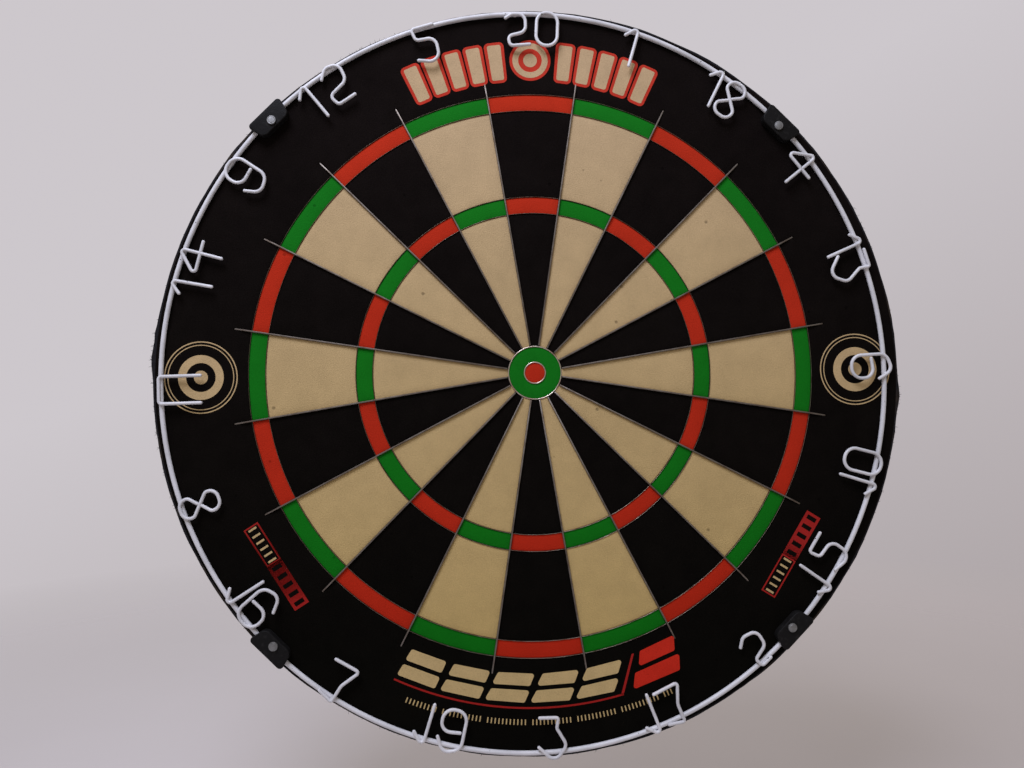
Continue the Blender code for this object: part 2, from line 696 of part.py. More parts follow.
def make_wall_bracket(parent):
    """A wall plate and a pressed pocket whose front has a U slot open at the top."""
    half = BRACKET_WIDTH / 2
    hole_x = half - 0.0075
    loops = [rounded_rectangle(-half, BRACKET_BOTTOM, half, BRACKET_TOP, 0.007)]
    for x in (-hole_x, hole_x):
        for y in (BRACKET_TOP - 0.011, BRACKET_BOTTOM + 0.011):
            loops.append(circle(WALL_HOLE_RADIUS, 10, x, y))
    plate = curve_to_mesh("wall_bracket", flat_shape("wall_bracket", loops, BRACKET_PLATE))
    plate.transform(Matrix.Translation((0, 0, BRACKET_PLATE / 2)))
    bracket = place("wall_bracket", plate, "bracket_steel", parent)
    pocket_half = POCKET_WIDTH / 2
    front_back = BRACKET_FRONT - BRACKET_PLATE

    def pocket_outside(shape):
        add_box(
            shape, (-pocket_half - POCKET_WALL, POCKET_BOTTOM - POCKET_WALL, BRACKET_PLATE / 2),
            (pocket_half + POCKET_WALL, BRACKET_TOP - 0.004, BRACKET_FRONT),
        )

    def pocket_inside(shape):
        add_box(
            shape, (-pocket_half, POCKET_BOTTOM, BRACKET_PLATE),
            (pocket_half, BRACKET_TOP + 0.004, front_back),
        )

    slot_half = SCREW_RADIUS + GAP + 0.0004
    slot_low = [
        (slot_half * cos(angle), slot_half * sin(angle))
        for angle in (radians(180 + 22.5 * i) for i in range(9))
    ]
    slot_high = [(slot_half + 0.003, BRACKET_TOP), (-slot_half - 0.003, BRACKET_TOP)]
    throat = BRACKET_TOP - 0.012
    outline = slot_low + [(slot_half, throat)] + slot_high + [(-slot_half, throat)]
    slot = curve_to_mesh("slot", flat_shape("slot", [outline], 3 * BRACKET_PLATE))
    outside = cutter("pocket_outside", solid_mesh("pocket_outside", pocket_outside), parent)
    inside = cutter("pocket_inside", solid_mesh("pocket_inside", pocket_inside), parent)
    combine(bracket, outside, "UNION")
    combine(bracket, inside, "DIFFERENCE")
    combine(bracket, cutter("slot", slot, parent, (0, 0, BRACKET_FRONT)), "DIFFERENCE")


# --- levellers ------------------------------------------------------------------------------------
def small_screw_places():
    """The two screws of each leveller, in the board's frame."""
    places = []
    for angle in LEVELLER_ANGLES:
        turn = radians(angle - 90)
        for side in (-1, 1):
            spot = Vector((side * SMALL_SCREW_SPACING / 2, LEVELLER_RADIUS))
            places.append(
                (spot.x * cos(turn) - spot.y * sin(turn), spot.x * sin(turn) + spot.y * cos(turn))
            )
    return places


def housing_mesh():
    """Moulded body with holes for its screws and a six-sided hole for the foot's stem."""
    half = HOUSING_LENGTH / 2
    loops = [rounded_rectangle(-half, -HOUSING_WIDTH / 2, half, HOUSING_WIDTH / 2, 0.005)]
    for side in (-1, 1):
        loops.append(circle(SMALL_SCREW_RADIUS + GAP, 8, side * SMALL_SCREW_SPACING / 2))
    loops.append(circle(STEM_RADIUS + 0.0004, 6, start=pi / 2))
    thickness = HOUSING_FRONT - HOUSING_WALL_SIDE
    mesh = curve_to_mesh("leveller_housing", flat_shape("leveller_housing", loops, thickness))
    mesh.transform(Matrix.Translation((0, 0, (HOUSING_FRONT + HOUSING_WALL_SIDE) / 2)))
    return mesh


def wheel_mesh():
    """Thumb wheel with a toothed rim."""
    rim = []
    for i in range(2 * WHEEL_TEETH):
        radius = WHEEL_RADIUS if i % 2 else WHEEL_RADIUS - 0.0009
        angle = pi * i / WHEEL_TEETH
        rim.append((radius * cos(angle), radius * sin(angle)))
    bore = circle(STEM_RADIUS + 0.0004, 12)
    outline = flat_shape("leveller_wheel", [rim, bore], WHEEL_FRONT - WHEEL_BACK)
    mesh = curve_to_mesh("leveller_wheel", outline)
    mesh.transform(Matrix.Translation((0, 0, (WHEEL_FRONT + WHEEL_BACK) / 2)))
    return mesh


def make_levellers(board):
    """Housing, wheel and foot of each leveller, on an axis of its own, and its screws."""
    housing = housing_mesh()
    wheel = wheel_mesh()

    def wheel_slot(shape):
        half = WHEEL_RADIUS + 0.0008
        add_box(shape, (-half, -HOUSING_WIDTH, WHEEL_BACK - GAP), (half, HOUSING_WIDTH, WHEEL_FRONT + GAP))

    def stem(shape):
        add_rod(shape, STEM_RADIUS, FOOT_THICKNESS / 2, STEM_END, 6)

    slot_mesh = solid_mesh("wheel_slot", wheel_slot)
    stem_mesh = solid_mesh("stem", stem)
    pad = [
        (0, FOOT_THICKNESS), (FOOT_RADIUS - 0.0006, FOOT_THICKNESS),
        (FOOT_RADIUS, FOOT_THICKNESS - 0.0006), (FOOT_RADIUS, 0), (0, 0),
    ]
    for k, angle in enumerate(LEVELLER_ANGLES):
        turn = radians(angle - 90)
        axis = make_axis(
            f"leveller_axis_{k + 1}", LEVELLER_RADIUS * cos(radians(angle)),
            LEVELLER_RADIUS * sin(radians(angle)), turn,
        )
        body = place(f"leveller_housing_{k + 1}", housing, "leveller_plastic", axis)
        combine(body, cutter(f"wheel_slot_{k + 1}", slot_mesh, axis), "DIFFERENCE")
        place(f"leveller_wheel_{k + 1}", wheel, "leveller_plastic", axis)
        foot = turned(f"leveller_foot_{k + 1}", pad, "leveller_plastic", axis, steps=20)
        combine(foot, cutter(f"stem_{k + 1}", stem_mesh, axis), "UNION")
        keep_parent(axis, board)


def make_small_screws(parent):
    """Pan-head screws that hold the levellers' housings."""
    under_head = HOUSING_WALL_SIDE - GAP
    profile = [
        (0, SMALL_SCREW_TIP), (SMALL_SCREW_RADIUS, SMALL_SCREW_TIP - 0.002),
        (SMALL_SCREW_RADIUS, under_head), (0.0027, under_head), (0.0027, under_head - 0.001),
        (0.0016, under_head - 0.0019), (0, under_head - 0.0019),
    ]
    for k, (x, y) in enumerate(small_screw_places()):
        turned(f"leveller_screw_{k + 1}", profile, "screw_steel", parent, steps=8, location=(x, y, 0))


clear_scene()
parts = make_collection("dartboard")
tools = make_collection("cutters")
wall = make_axis("wall_axis")
board_axis = make_axis("board_axis")
spider_axis = make_axis("spider_axis", *SPIDER_CENTRE)
keep_parent(spider_axis, board_axis)
make_wall_bracket(wall)
make_hanging_washer(board_axis)
make_hanging_screw(board_axis)
make_backing_board(board_axis)
make_rear_core(board_axis)
make_sisal_face(board_axis, spider_axis)
make_rim_band(board_axis)
make_ring_wires(spider_axis)
make_radial_blades(spider_axis)
make_number_ring(board_axis)
make_clips(board_axis)
make_levellers(board_axis)
make_small_screws(board_axis)
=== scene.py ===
"""Looks of a bristle dartboard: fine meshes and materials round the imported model.

Shapes are drawn in a board frame whose x is to the right, y is up and z is the distance from the
wall. `to_world` carries them into the model's frame, where the target face looks towards -Y.
"""

import math
import random
from math import cos, pi, radians, sin

import bmesh
import bpy
from mathutils import Matrix, Vector
from mathutils import noise as perlin


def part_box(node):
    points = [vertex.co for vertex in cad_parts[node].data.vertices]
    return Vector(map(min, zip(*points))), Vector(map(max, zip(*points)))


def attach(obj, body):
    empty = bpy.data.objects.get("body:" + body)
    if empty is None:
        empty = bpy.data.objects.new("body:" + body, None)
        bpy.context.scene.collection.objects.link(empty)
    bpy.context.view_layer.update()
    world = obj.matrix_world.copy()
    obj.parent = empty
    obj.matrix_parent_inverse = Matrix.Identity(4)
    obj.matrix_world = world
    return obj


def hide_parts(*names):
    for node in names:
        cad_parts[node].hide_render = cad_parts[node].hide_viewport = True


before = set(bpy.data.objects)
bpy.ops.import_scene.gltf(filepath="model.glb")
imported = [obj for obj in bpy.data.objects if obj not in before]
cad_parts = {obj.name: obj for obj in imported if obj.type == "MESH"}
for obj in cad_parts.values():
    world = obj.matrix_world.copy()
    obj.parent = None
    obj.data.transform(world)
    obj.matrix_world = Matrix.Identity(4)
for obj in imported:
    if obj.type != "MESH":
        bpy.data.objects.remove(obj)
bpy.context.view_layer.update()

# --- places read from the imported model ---
def depths(node):
    """A node's front and back, as distances from the wall."""
    low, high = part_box(node)
    return -low.y, -high.y


def middle_of(node):
    """A node's middle across the board."""
    low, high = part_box(node)
    return ((low.x + high.x) / 2, (low.z + high.z) / 2)


def radius_of(node):
    low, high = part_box(node)
    return (high.x - low.x) / 2


FACE, FACE_LAYER_BACK = depths("sisal_face")
BACKING_FRONT, BOARD_BACK = depths("backing_board")
BAND_FRONT, BAND_BACK = depths("rim_band")
FIBRE_RIM, SISAL_RADIUS, BAND_RADIUS = (
    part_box(node)[1].x for node in ("sisal_face", "backing_board", "rim_band")
)

# --- sizes shared with the CAD model ---
GAP = 0.0003
SEGMENTS = 20
RING_HALF_WIDTH = 0.00045
RING_CREST = 0.00035
WIRE_DEPTH = 0.003
BLADE_HALF_WIDTH = 0.00045
BLADE_CREST = 0.0012
BLADE_CLEARANCE = 0.00075
BLADE_OVERRUN = 0.0105
HOOP_CENTRE = (-0.0022, 0.0)
HOOP_HALF_WIDTH = 0.2174
HOOP_HALF_HEIGHT = 0.2218
HOOP_WIRE = 0.0014
DIGIT_WIRE = 0.001
DIGIT_HEIGHT = 0.023
DIGIT_OVERHANG = 0.0013
DIGIT_SHIFT = (0.0008, -0.0008)
WELD_OVERLAP = 0.0004
HOOP_Z = FACE + GAP + HOOP_WIRE
DIGIT_Z = HOOP_Z + HOOP_WIRE + DIGIT_WIRE - WELD_OVERLAP
CLIP_ANGLES = (45, 135, 225, 315)
CLIP_LENGTH = 0.0250
CLIP_OUTSIDE = 0.0076
CLIP_INSIDE = 0.0040
PIN_TO_HOOP = 0.0034
CHANNEL_HALF_WIDTH = HOOP_WIRE + 0.0012
PIN_RADIUS = 0.001

RING_NAMES = (
    "bullseye_ring", "outer_bull_ring", "treble_inner_ring", "treble_outer_ring",
    "double_inner_ring", "double_outer_ring",
)
RING_RADII = [radius_of(name) - RING_HALF_WIDTH for name in RING_NAMES]
BULL = Vector(middle_of("bullseye_ring"))
BLADE_START = RING_RADII[1] + RING_HALF_WIDTH + GAP
BLADE_END = RING_RADII[5] + BLADE_OVERRUN

# --- sizes of the visible pieces ---
ARC_STEP = radians(9)  # most turn between two points of a bend
WELD = (0.0013, 0.0018, 0.0012)  # half a weld's sizes: out, along the hoop and towards the viewer
CLIP_CORNER = 0.0022
CLIP_INNER_CORNER = 0.0045
CLIP_TAPER = 0.0012
CLIP_ROUNDING = 0.0007
PIN_HEAD_HEIGHT = 0.0012
HANGING_SCREW = (0.0055, 0.0034, 0.0025)  # head radius, head height and shank radius
SMALL_SCREW = (0.0027, 0.0019, 0.0014)
SCREW_POINT = 0.003
WASHER_RADIUS = 0.009
WASHER_HOLE = 0.0028
WASHER_EDGE = 0.0003
BACKING_HOLE = 0.0028

# Digits as bent wire. A corner is (x, y, bend radius) in millimetres, y up from the digit's foot.
SIX = [(7.4, 16.8, 0), (2.6, 25.2, 5.0), (-7.6, 21.6, 6.0), (-7.0, -0.2, 6.3), (7.2, -0.2, 6.3),
       (6.6, 13.6, 5.5), (-5.0, 12.2, 0)]
DIGITS = {
    "0": [(-6.7, 0.0, 6.3), (6.7, 0.0, 6.3), (6.7, 23.0, 6.3), (-6.7, 23.0, 6.3)],
    "1": [(-7.0, 18.2, 0), (0.0, 25.3, 1.8), (0.2, 0.4, 0)],
    "2": [(-6.8, 19.6, 0), (-1.4, 24.6, 4.5), (7.2, 22.6, 5.0), (5.4, 11.6, 5.0), (-8.2, 8.6, 3.0),
          (-6.2, 1.6, 2.4), (5.2, 1.8, 0)],
    "short 2": [(-6.9, 17.9, 0), (-2.0, 21.8, 4.2), (7.0, 19.6, 4.8), (5.8, 9.6, 4.4), (-4.2, 6.6, 2.0),
                (-3.4, 1.2, 1.8), (3.6, 1.8, 0)],
    "low 2": [(-8.4, 19.4, 0), (-4.4, 21.8, 3.6), (3.6, 21.4, 4.6), (3.6, 10.6, 4.6), (-7.4, 8.2, 2.8),
              (-6.2, 2.2, 2.2), (5.6, 2.8, 0)],
    "low 0": [(-6.4, 2.6, 6.2), (6.6, 2.6, 6.2), (6.6, 22.8, 6.2), (-6.2, 22.8, 6.0)],
    "3": [(-6.6, 23.0, 0), (4.4, 22.6, 1.2), (3.2, 16.4, 2.5), (8.8, 6.4, 4.5), (1.4, -3.2, 5.0),
          (-7.8, 6.0, 0)],
    "4": [(7.2, 13.0, 0), (-13.6, 12.5, 1.6), (0.0, 25.4, 1.7), (0.4, 0.2, 0)],
    "5": [(7.6, 22.6, 0), (-5.6, 22.8, 1.8), (-4.8, 15.6, 2.6), (7.2, 14.2, 5.0), (5.6, -1.2, 5.5),
          (-6.8, 3.6, 0)],
    "6": SIX,
    "7": [(-7.8, 21.6, 0), (8.0, 22.6, 1.5), (3.2, 10.5, 8.0), (3.4, -0.4, 1.2), (-6.0, 1.6, 0)],
    "8": [(-1.0, 10.4, 0), (-5.8, 6.2, 3.0), (-5.8, 0.0, 4.8), (5.8, 0.0, 4.8), (5.8, 6.2, 3.0),
          (-5.8, 16.8, 3.0), (-5.8, 23.0, 4.8), (5.8, 23.0, 4.8), (5.8, 16.8, 3.0), (1.0, 12.6, 0)],
    "9": [(-x, 23.0 - y, bend) for x, y, bend in SIX],
    "11": [(-8.0, -1.0, 0), (-8.0, 23.0, 1.8), (8.0, 23.0, 1.8), (8.0, -1.0, 0)],
    "hooked 1": [(-7.2, 5.0, 0), (0.0, -2.2, 1.8), (-0.2, 23.0, 0)],
}
FEET_OUT = range(6, 15)  # the numbers of the lower half stand with their feet on the hoop
# Clockwise from 20: each digit, its place along the hoop in millimetres and its lean in degrees.
NUMBERS = [
    [("low 2", -6.8, 0), ("low 0", 10.3, 0)],
    [("1", -2.4, 0)],
    [("1", -13.2, -5), ("8", -1.0, 0)],
    [("4", -5.6, 0)],
    [("1", -15.2, -1), ("3", -3.6, 0)],
    [("6", -5.0, 0)],
    [("0", -11.8, 0), ("hooked 1", 0.3, 0)],
    [("5", -17.4, 0), ("hooked 1", -0.3, 0)],
    [("short 2", -9.2, 0)],
    [("7", -14.7, 0), ("hooked 1", -2.6, -2)],
    [("3", -6.3, 0)],
    [("9", -14.2, 0), ("hooked 1", 0.3, 0)],
    [("7", -7.4, 0)],
    [("6", -11.0, 0), ("hooked 1", 2.0, 4)],
    [("8", -7.1, 0)],
    [("11", -4.3, 0)],
    [("1", -8.4, -5), ("4", 11.0, -5)],
    [("9", -1.7, 0)],
    [("1", -6.6, -1), ("2", 11.0, 0)],
    [("5", 2.0, 0)],
]

# --- the fibre face ---
ROW_PITCH = 0.002
COLUMNS = 14  # free columns of a segment, besides those that follow its two blades
FIRST_ROW = 0.0008
RING_GROOVES = (0.00050, 0.00050, 0.00034, 0.00034, 0.00034, 0.00034)
BLADE_GROOVE = 0.00052
GROOVE_LIP = 0.00003
GROOVE_DEPTH = 0.0016
BESIDE_BLADE = (BLADE_GROOVE, BLADE_GROOVE + GROOVE_LIP, 0.0009, 0.0014)
SWELL = 0.00028
SWELL_REACH = 0.0012
RIM_ROUNDING = 0.0016
# Where the cut edge swells out: its angle, its reach in degrees and its height.
BULGES = ((173.8, 2.2, 0.0010), (176.8, 1.9, 0.0018), (356.3, 1.8, 0.0015), (351.0, 1.5, 0.0004))
STRANDS = 520  # loose fibres of the cut edge
# The angle and the spread in degrees of each tuft that most of them stand in.
TUFTS = ((174, 3), (177, 2), (184, 6), (192, 3), (201, 3), (356, 2), (355, 4), (346, 5), (24, 4), (118, 3))

# --- printed marks ---
INK = 0.00006
OUTLINE = 0.0017
HEAD_ARC = 0.157  # radius of the line that the marks above the 20 stand on
HEAD_FOOT = 0.1800  # how far above the bull that line passes
HEAD_BAR = (0.0074, 0.0218)  # width and height
ROUNDELS = ((-0.1976, -0.0004, 0.0214), (0.1973, -0.0002, 0.0219))  # place from the bull, and radius
LABEL_TOP = (0.1690, -0.0884)
LABEL_FOOT = (0.1393, -0.1357)
LABEL_HALF_WIDTH = 0.0048
LABEL_FRAME = 0.0009

# --- lights and camera ---
CAMERA_PLACE = (-0.0359, -0.5162, -0.0206)
CAMERA_TURN = -2.79
CAMERA_TILT = 2.07
CAMERA_ROLL = 0.84
CAMERA_LENS = 27.03
FLOOR_HEIGHT = -0.32
FLOOR_RADIUS = 1.3


# --- materials ---
class Nodes:
    """Short names for the nodes of a material or a world. Sizes are in metres."""

    def __init__(self, owner, place):
        owner.use_nodes = True
        self.tree = owner.node_tree
        self.place = self.node("ShaderNodeTexCoord").outputs[place]

    def node(self, kind, operation=None, **links):
        made = self.tree.nodes.new(kind)
        if operation:
            made.operation = operation
        for name, value in links.items():
            self.feed(made.inputs[name.replace("_", " ")], value)
        return made

    def feed(self, socket, value):
        if isinstance(value, bpy.types.NodeSocket):
            self.tree.links.new(value, socket)
        else:
            socket.default_value = (*value, 1.0) if socket.type == "RGBA" else value

    def math(self, operation, first, second, kind="ShaderNodeMath", output="Value"):
        made = self.node(kind, operation)
        self.feed(made.inputs[0], first)
        self.feed(made.inputs[1], second)
        return made.outputs[output]

    def times(self, first, second):
        return self.math("MULTIPLY", first, second)

    def stretched(self, stretch):
        """The place, scaled along each axis."""
        if not stretch:
            return self.place
        return self.math("MULTIPLY", self.place, stretch, "ShaderNodeVectorMath", "Vector")

    def noise(self, size, detail=2.0, stretch=None):
        place = self.stretched(stretch)
        return self.node("ShaderNodeTexNoise", Vector=place, Scale=1 / size, Detail=detail).outputs["Fac"]

    def cells(self, size, output="Distance", stretch=None):
        place = self.stretched(stretch)
        return self.node("ShaderNodeTexVoronoi", Vector=place, Scale=1 / size).outputs[output]

    def remap(self, value, low, high, to_low=0.0, to_high=1.0):
        return self.node(
            "ShaderNodeMapRange", Value=value, From_Min=low, From_Max=high, To_Min=to_low, To_Max=to_high
        ).outputs["Result"]

    def patches(self, size, detail, *levels):
        """Noise of which the levels from low to high are remapped."""
        return self.remap(self.noise(size, detail), *levels)

    def axis(self, name):
        return self.node("ShaderNodeSeparateXYZ", Vector=self.place).outputs[name]

    def blend(self, factor, first, second):
        made = self.node("ShaderNodeMix")
        made.data_type = "RGBA"
        for socket, value in ((0, factor), (6, first), (7, second)):
            self.feed(made.inputs[socket], value)
        return made.outputs[2]

    def darken(self, colour, amount):
        """The colour times a grey amount."""
        return self.node("ShaderNodeVectorMath", "SCALE", Vector=colour, Scale=amount).outputs["Vector"]


class Finish(Nodes):
    """A Principled material."""

    def __init__(self, name, roughness, metallic=0.0, specular=0.5):
        self.material = bpy.data.materials.new(name)
        super().__init__(self.material, "Object")
        self.set("Roughness", roughness)
        self.set("Metallic", metallic)
        self.set("Specular IOR Level", specular)

    def set(self, name, value):
        self.feed(self.tree.nodes["Principled BSDF"].inputs[name], value)

    def paint(self, colour):
        self.set("Base Color", colour)

    def bump(self, height, distance):
        made = self.node("ShaderNodeBump", Height=height, Distance=distance, Strength=1.0)
        self.set("Normal", made.outputs["Normal"])


def fibre_finish(name, colour, foot, blush, grain, marks, specular=0.06):
    """Pressed fibre ends with painted light and shade, paler at the top and deeper and darker towards the
    board's foot, with blotches, pores and old dart marks.
    """
    finish = Finish(name, 0.95, specular=specular)
    # Painted light and shade: the colour runs from the deeper, darker foot colour at the board's foot to the
    # paler own colour at its top, as if lit from above.
    painted_shade_to_foot = finish.blend(finish.remap(finish.axis("Z"), -0.17, 0.17), foot, colour)
    blotches = finish.patches(0.011, 3.0, 0.30, 0.72, 1 - blush, 1 + blush)
    stains = finish.patches(0.055, 2.0, 0.3, 0.7, 1 - blush, 1 + blush)
    strands = finish.noise(0.0007, 3.0)
    shade = finish.times(
        finish.remap(strands, 0.25, 0.75, 1 - grain, 1 + grain),
        finish.remap(finish.cells(0.0005), 0.05, 0.45, 1 + grain * 0.5, 1 - grain * 0.5),
    )
    shade = finish.times(shade, finish.times(blotches, stains))
    dart_marks = finish.remap(finish.cells(0.019), 0.035, 0.065, 1 - marks, 1.0)
    finish.paint(finish.darken(painted_shade_to_foot, finish.times(shade, dart_marks)))
    finish.bump(finish.math("ADD", strands, finish.times(dart_marks, 2.0)), 0.00022)
    return finish.material


def edge_fibre_finish():
    """The cut edge of the fibre: strands that run from back to front, dyed black and rubbed brown."""
    finish = Finish("edge_fibre", 0.9, specular=0.12)
    strands = finish.noise(0.0012, 4.0, (1.0, 0.12, 1.0))
    rubbed = finish.patches(0.016, 3.0, 0.55, 0.75)
    dyed = finish.blend(strands, (0.0085, 0.0080, 0.0095), (0.021, 0.020, 0.023))
    finish.paint(finish.blend(rubbed, dyed, (0.045, 0.032, 0.022)))
    finish.bump(strands, 0.0005)
    return finish.material


def core_finish():
    finish = Finish("core_fibre", 0.95, specular=0.1)
    strands = finish.noise(0.0016, 4.0, (1.0, 0.15, 1.0))
    finish.paint(finish.blend(strands, (0.20, 0.13, 0.07), (0.46, 0.34, 0.20)))
    finish.bump(strands, 0.0004)
    return finish.material


def chipboard_finish():
    """Pressed wood chips: flat flakes of several browns with dark glue lines between them."""
    finish = Finish("chipboard", 0.8, specular=0.3)
    flakes = finish.cells(0.0023, "Color", (1.0, 1.0, 0.5))
    small = finish.cells(0.0013, "Color", (0.6, 1.0, 1.0))
    tone = finish.math("ADD", finish.times(flakes, 0.6), finish.times(small, 0.4))
    colour = finish.blend(finish.remap(tone, 0.15, 0.85), (0.29, 0.200, 0.11), (0.44, 0.320, 0.195))
    seams = finish.remap(finish.cells(0.0023, stretch=(1.0, 1.0, 0.5)), 0.45, 0.75, 1.0, 0.88)
    dust = finish.patches(0.04, 3.0, 0.3, 0.7, 0.85, 1.08)
    finish.paint(finish.darken(colour, finish.times(seams, dust)))
    finish.bump(tone, 0.00015)
    return finish.material


def worn_paint_finish(name, paint, metal, roughness, wear):
    """Paint with fine orange peel, greasy patches and small chips down to the metal."""
    finish = Finish(name, roughness)
    chips = finish.patches(0.0022, 5.0, wear, wear + 0.03)
    grime = finish.patches(0.013, 3.0, 0.35, 0.7, 1.05, 0.84)
    finish.paint(finish.blend(chips, finish.darken(paint, grime), metal))
    finish.set("Metallic", chips)
    smear = finish.noise(0.006, 3.0)
    finish.set("Roughness", finish.remap(smear, 0.3, 0.7, roughness * 0.8, roughness * 1.25))
    finish.bump(finish.math("SUBTRACT", finish.noise(0.0009), finish.times(chips, 1.5)), 0.00006)
    return finish.material


def steel_finish(name, bright, dull, roughness, stretch=(1.0, 1.0, 1.0)):
    """Drawn or stamped steel: fine lines along the work, with dull oxide patches."""
    finish = Finish(name, roughness, metallic=1.0)
    lines = finish.noise(0.0012, 4.0, stretch)
    oxide = finish.noise(0.007, 4.0)
    finish.paint(finish.blend(finish.remap(oxide, 0.42, 0.68), bright, dull))
    mixed = finish.math("ADD", lines, oxide)
    finish.set("Roughness", finish.remap(mixed, 0.7, 1.3, roughness * 0.75, roughness * 1.4))
    finish.bump(lines, 0.00004)
    return finish.material


def plastic_finish(name, colour, roughness):
    """Moulded plastic: spark-eroded grain, rubbed smoother in places, with a little dust."""
    finish = Finish(name, roughness, specular=0.12)
    rubbed = finish.patches(0.008, 2.0, 0.45, 0.7)
    dust = finish.patches(0.003, 4.0, 0.55, 0.8)
    finish.paint(finish.blend(finish.times(dust, 0.16), colour, (0.10, 0.095, 0.09)))
    finish.set("Roughness", finish.remap(rubbed, 0.0, 1.0, roughness, roughness * 0.72))
    finish.bump(finish.noise(0.0009, 3.0), 0.00012)
    return finish.material


def ink_finish(name, colour, foot, strength=0.06):
    """Printed ink on fibre with painted light and shade, paler at the top and deeper towards the board's
    foot, and thin over the fibre's pores.
    """
    finish = Finish(name, 0.95, specular=0.03)
    # Painted light and shade: the colour runs from the deeper foot colour at the board's foot to the paler
    # own colour at its top.
    painted_shade_to_foot = finish.blend(finish.remap(finish.axis("Z"), -0.19, 0.19), foot, colour)
    grain = finish.noise(0.0007, 3.0)
    thin = finish.patches(0.0011, 3.0, 0.26, 0.40, 1 - 3 * strength, 1.0)
    patches = finish.patches(0.009, 2.0, 0.3, 0.7, 1 - strength, 1 + strength)
    speckle = finish.remap(grain, 0.3, 0.7, 1 - strength, 1 + strength)
    finish.paint(finish.darken(painted_shade_to_foot, finish.times(finish.times(thin, patches), speckle)))
    finish.bump(grain, 0.0002)
    return finish.material


# The second colour of each bed is painted shade: deeper and darker, for the board's foot.
CREAM = fibre_finish("cream_fibre", (0.585, 0.420, 0.243), (0.560, 0.396, 0.152), 0.048, 0.10, 0.42)
BLACK = fibre_finish("black_fibre", (0.0090, 0.0064, 0.0059), (0.0045, 0.0039, 0.0029), 0.12, 0.30, 0.3, 0.02)
RED = fibre_finish("red_fibre", (0.545, 0.034, 0.0125), (0.480, 0.023, 0.0080), 0.04, 0.08, 0.3)
GREEN = fibre_finish("green_fibre", (0.0095, 0.196, 0.0135), (0.0050, 0.156, 0.0070), 0.04, 0.08, 0.3)
EDGE = edge_fibre_finish()
CORE = core_finish()
CHIPBOARD = chipboard_finish()
BAND_PAINT = worn_paint_finish("band_paint", (0.011, 0.010, 0.010), (0.30, 0.28, 0.26), 0.38, 0.70)
RING_PAINT = worn_paint_finish("ring_paint", (0.74, 0.73, 0.76), (0.26, 0.25, 0.25), 0.34, 0.69)
WIRE_STEEL = steel_finish("ring_wire_steel", (0.33, 0.275, 0.215), (0.16, 0.11, 0.075), 0.42)
BLADE_STEEL = steel_finish("blade_steel", (0.27, 0.235, 0.205), (0.17, 0.13, 0.10), 0.50, (0.3, 1.0, 0.3))
BULL_STEEL = steel_finish("bull_wire_steel", (0.72, 0.64, 0.55), (0.50, 0.36, 0.28), 0.34)
PIN_STEEL = steel_finish("pin_steel", (0.34, 0.34, 0.34), (0.24, 0.23, 0.22), 0.62)
SCREW_STEEL = steel_finish("screw_steel", (0.62, 0.62, 0.60), (0.40, 0.39, 0.37), 0.30, (1.0, 0.08, 1.0))
BRACKET_PAINT = worn_paint_finish("bracket_paint", (0.030, 0.030, 0.032), (0.34, 0.33, 0.32), 0.42, 0.66)
CLIP_PLASTIC = plastic_finish("clip_plastic", (0.0080, 0.0074, 0.0074), 0.6)
LEVELLER_PLASTIC = plastic_finish("leveller_plastic", (0.021, 0.021, 0.022), 0.48)
# The second colour of each ink is painted shade: deeper, for the board's foot.
CREAM_INK = ink_finish("cream_ink", (0.555, 0.390, 0.225), (0.560, 0.405, 0.185))
RED_INK = ink_finish("red_ink", (0.545, 0.045, 0.026), (0.590, 0.028, 0.014))
DARK_RED_INK = ink_finish("dark_red_ink", (0.36, 0.026, 0.022), (0.36, 0.018, 0.015))
BLACK_INK = ink_finish("black_ink", (0.009, 0.0065, 0.006), (0.0045, 0.0039, 0.0029))

# What each zone between two ring wires is made of, from the bull out: in a dark segment and a light one.
ZONE_BEDS = (
    (RED, RED), (GREEN, GREEN), (BLACK, CREAM), (RED, GREEN), (BLACK, CREAM), (RED, GREEN), (BLACK, BLACK),
)


# --- mesh helpers ---
def to_world(point):
    x, y, z = point
    return Vector((x, -z, y))


BOARD_FRAME = Matrix.Rotation(pi / 2, 4, "X")


def polar(radius, angle, centre=(0, 0)):
    return (centre[0] + radius * cos(angle), centre[1] + radius * sin(angle))


def even_steps(count):
    return [i / count for i in range(count + 1)]


def arc(centre, radius, start, end, steps):
    return [polar(radius, start + (end - start) * share, centre) for share in even_steps(steps)]


def circle(radius, count, centre=(0, 0)):
    return [polar(radius, 2 * pi * i / count, centre) for i in range(count)]


def put_in_scene(name, data):
    thing = bpy.data.objects.new(name, data)
    bpy.context.scene.collection.objects.link(thing)
    return thing


def change(thing, **settings):
    """The same thing with these attributes set."""
    for name, value in settings.items():
        setattr(thing, name, value)
    return thing


def add_piece(name, mesh, body, nodes=(), finish=None, smooth_angle=35):
    """A piece of the object from a mesh in world space, riding on its body."""
    mesh.name = name
    piece = put_in_scene(name, mesh)
    if finish:
        mesh.materials.clear()
        mesh.materials.append(finish)
    mesh.shade_smooth()
    mesh.set_sharp_from_angle(angle=radians(smooth_angle))
    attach(piece, body)
    if nodes:
        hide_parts(*nodes)


def mesh_of(shape, mesh=None):
    """The mesh of a bmesh, which is then freed."""
    mesh = mesh or bpy.data.meshes.new("mesh")
    shape.to_mesh(mesh)
    shape.free()
    return mesh


def welded(mesh, outward=False):
    """The same mesh with its double points merged and, if asked, its faces pointing out."""
    shape = bmesh.new()
    shape.from_mesh(mesh)
    bmesh.ops.remove_doubles(shape, verts=shape.verts, dist=0.000001)
    if outward:
        bmesh.ops.recalc_face_normals(shape, faces=shape.faces)
    return mesh_of(shape, mesh)


